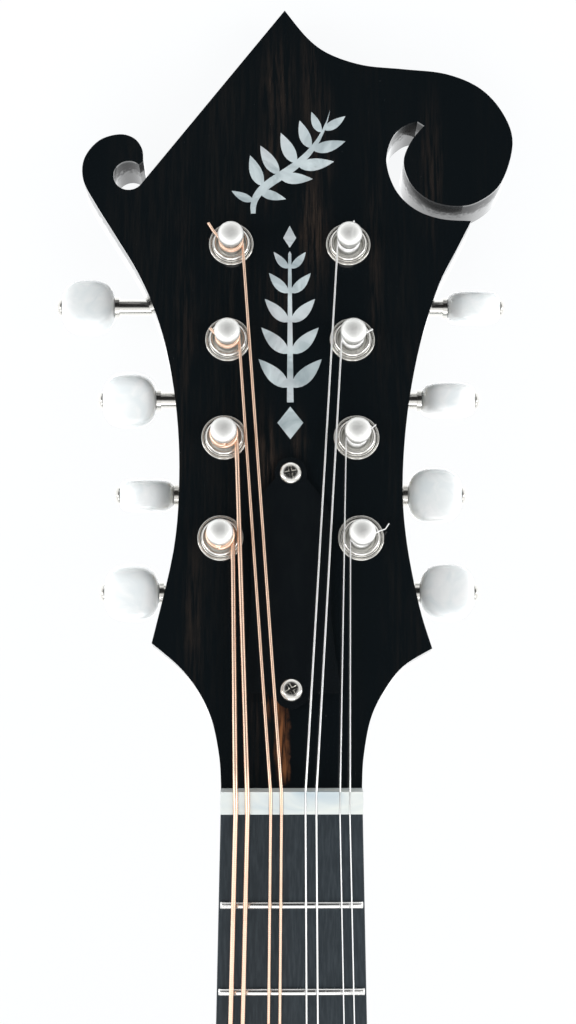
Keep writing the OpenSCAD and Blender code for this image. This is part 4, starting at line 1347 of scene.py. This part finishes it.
@dataclass
class Tuners(Assembly):
    """Eight geared tuners with their posts, bushings, worms, gears, plates and knobs."""

    copies: tuple[NodeCopy, ...] = (NodeCopy("tuner_plates", 0.12),)
    rows: int = 4
    post_profile: tuple[Point2, ...] = (
        (0.0, -15.7), (2.35, -15.7), (2.45, -15.6), (2.45, 1.25), (2.41, 1.36), (1.99, 1.48),
        (1.95, 1.56), (1.95, 4.86), (2.0, 4.95), (2.6, 5.4), (2.76, 5.58), (2.86, 5.82),
        (2.93, 6.1), (2.95, 6.35), (2.95, 6.72), (2.92, 6.9), (2.84, 7.1), (2.7, 7.3),
        (2.5, 7.5), (2.28, 7.66), (2.0, 7.79), (1.6, 7.92), (1.1, 8.04), (0.5, 8.12), (0.0, 8.15),
    )
    bushing_profile: tuple[Point2, ...] = (
        (2.52, -9.0), (3.98, -9.0), (4.0, -8.9), (4.0, 0.02), (5.05, 0.02), (5.13, 0.08),
        (5.15, 0.2), (5.12, 0.34), (5.02, 0.47), (4.92, 0.52), (4.82, 0.5), (4.75, 0.42),
        (4.7, 0.38), (4.36, 0.38), (4.3, 0.42), (4.27, 0.6), (4.25, 0.92), (4.2, 1.08),
        (4.1, 1.22), (3.95, 1.34), (3.75, 1.43), (3.6, 1.42), (3.42, 1.32), (3.3, 1.16),
        (3.22, 0.8), (3.1, 0.25), (2.9, 0.16), (2.52, 0.12),
    )
    stub_half: float = 1.6
    stub_corner: float = 0.2
    stub_low: float = -19.6
    stub_lap: float = 0.1
    knob_half: Colour = (6.35, 6.35, 3.8)
    face_power: float = 0.76
    edge_power: float = 0.42
    crown: float = 1.15
    knob_around: int = 72
    knob_over: int = 36
    turns: dict[Side, tuple[float, ...]] = field(
        default_factory=lambda: {Side.BASS: (-12, 27, 105, 23), Side.TREBLE: (105, 99, 15, 0)}
    )
    knob_screw: OvalScrew = OvalScrew(1.9, 1.1, 0.65, 5.0)
    plate_screw: OvalScrew = OvalScrew(1.7, 0.8, 1.0, 4.5)
    plate_spots: tuple[Point2, ...] = (
        (8.2, 38.0), (22.2, 38.0), (8.2, 62.7), (8.2, 85.7), (8.2, 108.7), (8.2, 131.0),
        (22.2, 131.0),
    )
    plate_back: float = -13.82
    plate_turn: float = 0.7

    def own(self) -> list[Piece]:
        """Makes the bushings and screws that all tuners share, then each tuner.

        Returns:
            The new pieces.
        """
        made = [self.bushings(), self.plate_screws()]
        for side in Side:
            for row in range(self.rows):
                mark = f"{side.letter}{row + 1}"
                made += [self.post(mark), self.knob(mark, side, row)]
                made.append(self.shop.refine(NodeCopy("gear_" + mark, 0.06, 1)))
                made.append(self.shop.refine(NodeCopy("worm_" + mark, 0.0, sharp=38.0)))
        return made

    def post_place(self, mark: str) -> Matrix:
        """Frame of a post: origin on the headplate surface, +Z along the post."""
        joint = self.shop.joints["post_turn_" + mark]
        return Matrix.Translation(joint["pos_m"]) @ NeckGeometry().head_turn()

    def bushings(self) -> Piece:
        """Turned bushings of all eight posts, as one piece.

        Returns:
            The piece.
        """
        bm = bmesh.new()
        for side in Side:
            for row in range(1, self.rows + 1):
                lathe(bm, self.bushing_profile, self.post_place(f"{side.letter}{row}"), bored=True)
        return self.shop.place(bm, "tuner_bushings", 40.0)

    def plate_screws(self) -> Piece:
        """Screws of both tuner plates, as one piece.

        Returns:
            The piece.
        """
        head = NeckGeometry().head_frame() @ Matrix.Translation((0, 0, self.plate_back * MM))
        bm = bmesh.new()
        for side in Side:
            for number, (x, along) in enumerate(self.plate_spots):
                seat = Matrix.Translation(Vector((side.value * x, along, 0)) * MM)
                turn = Matrix.Rotation(self.plate_turn * number, 4, "Z")
                self.plate_screw.add(bm, head @ seat @ Matrix.Rotation(math.pi, 4, "X") @ turn)
        return self.shop.place(bm, "plate_screws", 40.0)

    def post(self, mark: str) -> Piece:
        """Turned post with its domed cap and the square end that carries the gear.

        Args:
            mark: Side letter and row number.

        Returns:
            The post.
        """
        bm = bmesh.new()
        place = self.post_place(mark)
        lathe(bm, self.post_profile, place)
        s, c = self.stub_half, self.stub_half - self.stub_corner
        section = [(s, -c), (s, c), (c, s), (-c, s), (-s, c), (-s, -c), (-c, -s), (c, -s)]
        levels = (self.stub_low, self.post_profile[0][1] + self.stub_lap)
        rings = [[place @ (Vector((x, y, z)) * MM) for x, y in section] for z in levels]
        ring_surface(bm, rings)
        return self.shop.place(bm, "post_" + mark, 40.0)

    def knob(self, mark: str, side: Side, row: int) -> Piece:
        """Pillow-shaped knob, and the domed screw at its outer end as a piece of its own.

        Args:
            mark: Side letter and row number.
            side: Side that the knob is on.
            row: Row, 0 farthest from the nut.

        Returns:
            The knob.
        """
        low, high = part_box("knob_" + mark)
        inner = low.x if side is Side.TREBLE else -high.x
        axis = self.shop.joints["knob_turn_" + mark]["pos_m"]
        half = Vector(self.knob_half) * MM
        centre = Vector((side.value * (inner + half.x), axis[1], axis[2]))
        turn = Matrix.Rotation(math.radians(self.turns[side][row]), 4, "X")
        place = Matrix.Translation(centre) @ NeckGeometry().head_turn() @ turn
        place = place @ Matrix.Diagonal((side.value, 1, 1, 1))
        knob = self.shop.place(self.pillow(place, half), "knob_" + mark, 60.0)
        screw = bmesh.new()
        outward = Matrix.Translation((half.x, 0, 0)) @ Matrix.Rotation(math.pi / 2, 4, "Y")
        self.knob_screw.add(screw, place @ outward)
        head = link_mesh(f"knob_screw_{mark}", screw, 40.0)
        self.shop.book.dress(head, "nickel")
        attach(head, "tuner_" + mark)
        return knob

    def pillow(self, place: Matrix, half: Vector) -> BMesh:
        """Makes a rounded-square pillow whose broad faces are crowned.

        Args:
            place: Frame with X along the shaft and Z through the broad faces.
            half: Half sizes in metres.

        Returns:
            The mesh.
        """

        def power(value: float, exponent: float) -> float:
            """Power of a value that keeps its sign."""
            return math.copysign(abs(value) ** exponent, value)

        outline = [
            (half.x * power(c, self.face_power), half.y * power(s, self.face_power))
            for c, s in circle(self.knob_around)
        ]
        rings = []
        for j in range(1, self.knob_over):
            b = math.pi * (j / self.knob_over - 0.5)
            reach = power(math.cos(b), self.edge_power)
            rise = half.z * power(math.sin(b), self.edge_power * self.crown)
            rings.append([place @ Vector((x * reach, y * reach, rise)) for x, y in outline])
        bm = bmesh.new()
        ring_surface(bm, rings)
        return bm


@dataclass
class Strings(Assembly):
    """Eight strings from the tailpiece over the bridge and the nut to their coils.

    A tail is the way from the end of the coil to the cut end, as steps across and along.
    """

    gauge: tuple[float, ...] = (1.02, 1.02, 0.66, 0.66, 0.41, 0.41, 0.28, 0.28)
    nut_x: tuple[float, ...] = (-11.9, -9.4, -4.5, -2.2, 2.9, 5.2, 10.2, 12.3)
    bridge_x: tuple[float, ...] = (-20.4, -17.4, -7.9, -4.9, 4.9, 7.9, 17.4, 20.4)
    wraps: tuple[float, ...] = (1.75, 1.75, 2.5, 2.5, 3.5, 3.5, 4.5, 4.5)
    posts: tuple[str, ...] = ("b4", "b3", "b2", "b1", "t1", "t2", "t3", "t4")
    tails: tuple[tuple[Point2, ...], ...] = (
        ((-1.0, 0.6), (-1.6, 0.9)),
        ((0.4, 1.4), (1.4, 1.8), (1.7, 2.6)),
        ((-0.8, 0.8), (-1.4, 1.4)),
        ((-1.4, 1.6), (-2.6, 3.4)),
        ((-1.2, 1.6), (-1.3, 4.2)),
        ((1.0, 0.8), (2.0, 1.2)),
        ((0.8, 1.2), (1.8, 2.0)),
        ((1.4, 0.8), (2.8, 1.2), (3.6, 2.4)),
    )
    tail_lift: Point2 = (0.25, 0.1)
    anchor_squeeze: float = 0.9
    anchor: Point2 = (16.0, 31.1)
    saddle: Point2 = (152.0, 55.63)
    half_saddle: float = 3.15
    slot_sink: float = 0.35
    slot_fall: float = 0.1
    slot_spread: float = 1.005
    winding_radius: float = 2.25
    winding_gap: float = 0.04
    coil_low: float = 1.65
    span_steps: int = 40
    lead_steps: int = 12
    turn_steps: int = 48
    first_plain: int = 4

    def coil(self, i: int, post: Vector) -> list[Vector]:
        """Points of one string round its post, in the headstock frame.

        Args:
            i: Number of the string, 0 for the outer bass string.
            post: Middle of the post, in the same frame.

        Returns:
            Points from the outer side of the post upward, in millimetres.
        """
        g = self.gauge[i]
        r = self.winding_radius + g / 2
        start, way = (0.0, 1) if i < self.first_plain else (math.pi, -1)
        points = []
        for k in range(int(self.turn_steps * self.wraps[i]) + 1):
            a = start + way * 2 * math.pi * k / self.turn_steps
            height = self.coil_low + g / 2 + (g + self.winding_gap) * k / self.turn_steps
            points.append(Vector((post.x + r * math.cos(a), post.y + r * math.sin(a), height)))
        return points

    def path(self, i: int) -> list[Vector]:
        """Points of one string in the part's frame.

        Args:
            i: Number of the string, 0 for the outer bass string.

        Returns:
            Points from the tailpiece to the cut end.
        """
        shape = NeckGeometry()
        neck, head = shape.neck_frame(), shape.head_frame()
        g, at_bridge, at_nut = self.gauge[i] / 2, self.bridge_x[i], self.nut_x[i]
        points = [Vector((at_bridge * self.anchor_squeeze, *self.anchor)) * MM]
        for y in (-self.half_saddle, self.half_saddle):
            points.append(Vector((at_bridge, self.saddle[0] + y, self.saddle[1] + g)) * MM)
        seat = shape.nut_rise / MM - self.slot_sink + g
        over = neck @ (Vector((at_nut, 0.0, seat)) * MM)
        behind = Vector((at_nut * self.slot_spread, shape.nut_depth / MM, seat - self.slot_fall))
        start = points[-1]
        points += [start.lerp(over, k / self.span_steps) for k in range(1, self.span_steps + 1)]
        points.append(neck @ (behind * MM))
        post = Vector(self.shop.joints["post_turn_" + self.posts[i]]["pos_m"])
        coil = self.coil(i, head.inverted() @ post / MM)
        across, along = self.tail_lift
        tail = [coil[-1] + Vector((x, y, across * abs(x) + along * y)) for x, y in self.tails[i]]
        wound = [head @ (point * MM) for point in coil + tail]
        first = points[-1]
        points += [first.lerp(wound[0], k / self.lead_steps) for k in range(1, self.lead_steps)]
        return points + wound

    def own(self) -> list[Piece]:
        """Makes the wound and the plain strings.

        Returns:
            The two pieces.
        """
        made = []
        wound, plain = range(self.first_plain), range(self.first_plain, len(self.gauge))
        for node, numbers in (("wound_strings", wound), ("plain_strings", plain)):
            bm = bmesh.new()
            for i in numbers:
                tube(bm, self.path(i), self.gauge[i] / 2 * MM)
            made.append(self.shop.place(bm, node, 70.0))
        return made


@dataclass
class BridgeAndTail(Assembly):
    """Adjustable bridge, tailpiece and strap button."""

    copies: tuple[NodeCopy, ...] = (
        NodeCopy("bridge_base", 0.4, 3, sharp=40.0),
        NodeCopy("bridge_saddle", 0.4, 3, sharp=40.0),
        NodeCopy("bridge_studs", 0.1),
        NodeCopy("thumbwheel_bass", 0.1),
        NodeCopy("thumbwheel_treble", 0.1),
        NodeCopy("tailpiece", 0.5, 3, sharp=40.0),
    )
    button_profile: tuple[Point2, ...] = (
        (0.0, -22.0), (3.4, -22.0), (3.4, 2.5), (6.8, 2.55), (7.0, 2.7), (6.95, 3.1), (6.6, 4.0),
        (5.6, 5.2), (4.6, 6.4), (4.2, 7.4), (4.15, 8.6), (4.4, 10.0), (5.4, 11.3), (6.6, 12.2),
        (7.2, 12.9), (7.4, 13.6), (7.3, 14.3), (6.6, 15.0), (5.4, 15.6), (3.4, 16.0),
        (1.6, 16.16), (0.0, 16.2),
    )

    def own(self) -> list[Piece]:
        """Turns the strap button.

        Returns:
            The piece.
        """
        bm = bmesh.new()
        lathe(bm, self.button_profile, Matrix.Rotation(math.pi / 2, 4, "X"))
        return [self.shop.place(bm, "strap_button", 40.0)]


# ---- studio ----------------------------------------------------------------------------------


@dataclass
class Studio:
    """Camera, pale floor, soft lights and a pale surround with a dark flag over the face.

    A light is its name, its place from the middle of the headstock, its size and its watts.
    """

    lens: float = 60.82
    sensor: float = 36.0
    near: float = 0.01
    tilt: float = math.radians(2.05)
    swing: float = math.radians(0.77)
    offset: Colour = (0.8, -64.0, -368.0)
    floor_size: float = 6.0
    floor_light: float = 0.93
    floor_tones: tuple[Colour, Colour] = ((0.955, 0.97, 0.985), (0.985, 0.995, 1.0))
    floor_back: Point2 = (0.128, -0.0385)
    floor_gap: float = 0.5 * MM
    floor_gloss: float = 1.6
    floor_base: float = 0.08
    flag_lean: float = math.radians(36.0)
    flag_core: float = math.radians(24.0)
    flag_rim: float = math.radians(42.0)
    overhead: float = 0.02
    surround_light: float = 1.28
    horizon: float = 0.985
    aim_along: float = 0.08
    lamps: tuple[tuple[str, Colour, Point2, float], ...] = (
        ("box_player", (0.0, -0.95, 0.95), (1.0, 0.5), 4.0),
        ("strip_bass", (-0.95, 0.0, 0.62), (0.16, 1.2), 3.0),
        ("strip_treble", (0.95, 0.0, 0.62), (0.16, 1.2), 3.0),
    )

    def build(self) -> None:
        """Makes the camera, the floor, the surround and the lights."""
        scene = bpy.context.scene
        scene.view_settings.view_transform = "Standard"
        self.camera(scene)
        self.floor()
        self.surround(scene)
        self.lights(scene)

    def camera(self, scene: bpy.types.Scene) -> None:
        """Places the camera square over the headstock and the first frets.

        Args:
            scene: Scene that receives it.
        """
        data = bpy.data.cameras.new("studio_camera")
        data.lens = self.lens
        data.sensor_width = self.sensor
        data.clip_start = self.near
        camera = bpy.data.objects.new("studio_camera", data)
        turn = Matrix.Rotation(self.swing, 4, "Y") @ Matrix.Rotation(self.tilt, 4, "X")
        view = Matrix.Translation(Vector(self.offset) * MM) @ turn
        camera.matrix_world = NeckGeometry().neck_frame() @ view.inverted()
        scene.collection.objects.link(camera)
        scene.camera = camera

    def floor(self) -> None:
        """Lays a wide pale floor: level under the back, then a ramp down to the headstock's end."""
        low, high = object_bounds()
        back_y, back_z = self.floor_back
        tip_z = low.z - self.floor_gap
        half = self.floor_size / 2
        line = ((-half, back_z), (back_y, back_z), (high.y, tip_z), (high.y + half, tip_z))
        bm = bmesh.new()
        rows = [[bm.verts.new((x, y, z)) for x in (-half, half)] for y, z in line]
        for near, far in zip(rows, rows[1:]):
            bm.faces.new((near[0], near[1], far[1], far[0]))
        floor = link_mesh("pale_floor", bm)
        material = bpy.data.materials.new("pale_floor")
        material.use_nodes = True
        s = Shader(material.node_tree)
        shell = material.node_tree.nodes["Principled BSDF"]
        tone = s.noise(s.add("TexCoord").outputs["Object"], 3.0, detail=2.0)
        glossy = s.add("LightPath").outputs["Is Glossy Ray"]
        light = s.remap(glossy, start=self.floor_light, end=self.floor_light * self.floor_gloss)
        s.feed(shell, Emission_Color=s.mix(tone, *self.floor_tones), Emission_Strength=light)
        s.feed(shell, Base_Color=(*(self.floor_base,) * 3, 1.0), Roughness=1.0)
        s.feed(shell, Specular_IOR_Level=0.0)
        floor.data.materials.append(material)
        floor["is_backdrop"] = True

    def surround(self, scene: bpy.types.Scene) -> None:
        """Surrounds the scene with white, and a dark flag where the face would mirror it.

        Args:
            scene: Scene that receives them.
        """
        world = bpy.data.worlds.new("studio_surround")
        world.use_nodes = True
        scene.world = world
        s = Shader(world.node_tree)
        flag = (0.0, math.sin(self.flag_lean), math.cos(self.flag_lean))
        values = {0: s.add("TexCoord").outputs["Generated"], 1: flag}
        toward = s.add("VectorMath", values, operation="DOT_PRODUCT").outputs["Value"]
        rim, core = math.cos(self.flag_rim), math.cos(self.flag_core)
        tone = s.ramp(toward, ((rim, (self.horizon,) * 3), (core, (self.overhead,) * 3)))
        seen = s.add("LightPath").outputs["Is Camera Ray"]
        strength = s.remap(seen, start=self.surround_light, end=1.0)
        s.feed(world.node_tree.nodes["Background"], Color=tone, Strength=strength)

    def lights(self, scene: bpy.types.Scene) -> None:
        """Hangs the soft boxes round the headstock.

        Args:
            scene: Scene that receives them.
        """
        head = NeckGeometry().head_frame() @ Vector((0, self.aim_along, 0))
        for name, place, size, watts in self.lamps:
            data = bpy.data.lights.new(name, "AREA")
            data.shape = "RECTANGLE"
            data.size, data.size_y = size
            data.energy = watts
            lamp = bpy.data.objects.new(name, data)
            spot = head + Vector(place)
            aim = (head - spot).to_track_quat("-Z", "Y")
            lamp.matrix_world = Matrix.Translation(spot) @ aim.to_matrix().to_4x4()
            scene.collection.objects.link(lamp)


# ---- whole instrument ------------------------------------------------------------------------


def main(frame: dict[str, Any]) -> None:
    """Builds every sub-assembly in order.

    Args:
        frame: The loaded frame.
    """
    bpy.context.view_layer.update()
    shop = Workshop(frame, FinishBook())
    Studio().build()
    for kind in (Body, Neck, Headplate, Tuners, Strings, BridgeAndTail):
        made = kind(shop).build()
        LOG.info("%s: %d pieces", kind.__name__, len(made))


if __name__ == "__main__":
    logging.basicConfig(level=logging.INFO, format="%(name)s: %(message)s")
    main(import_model())
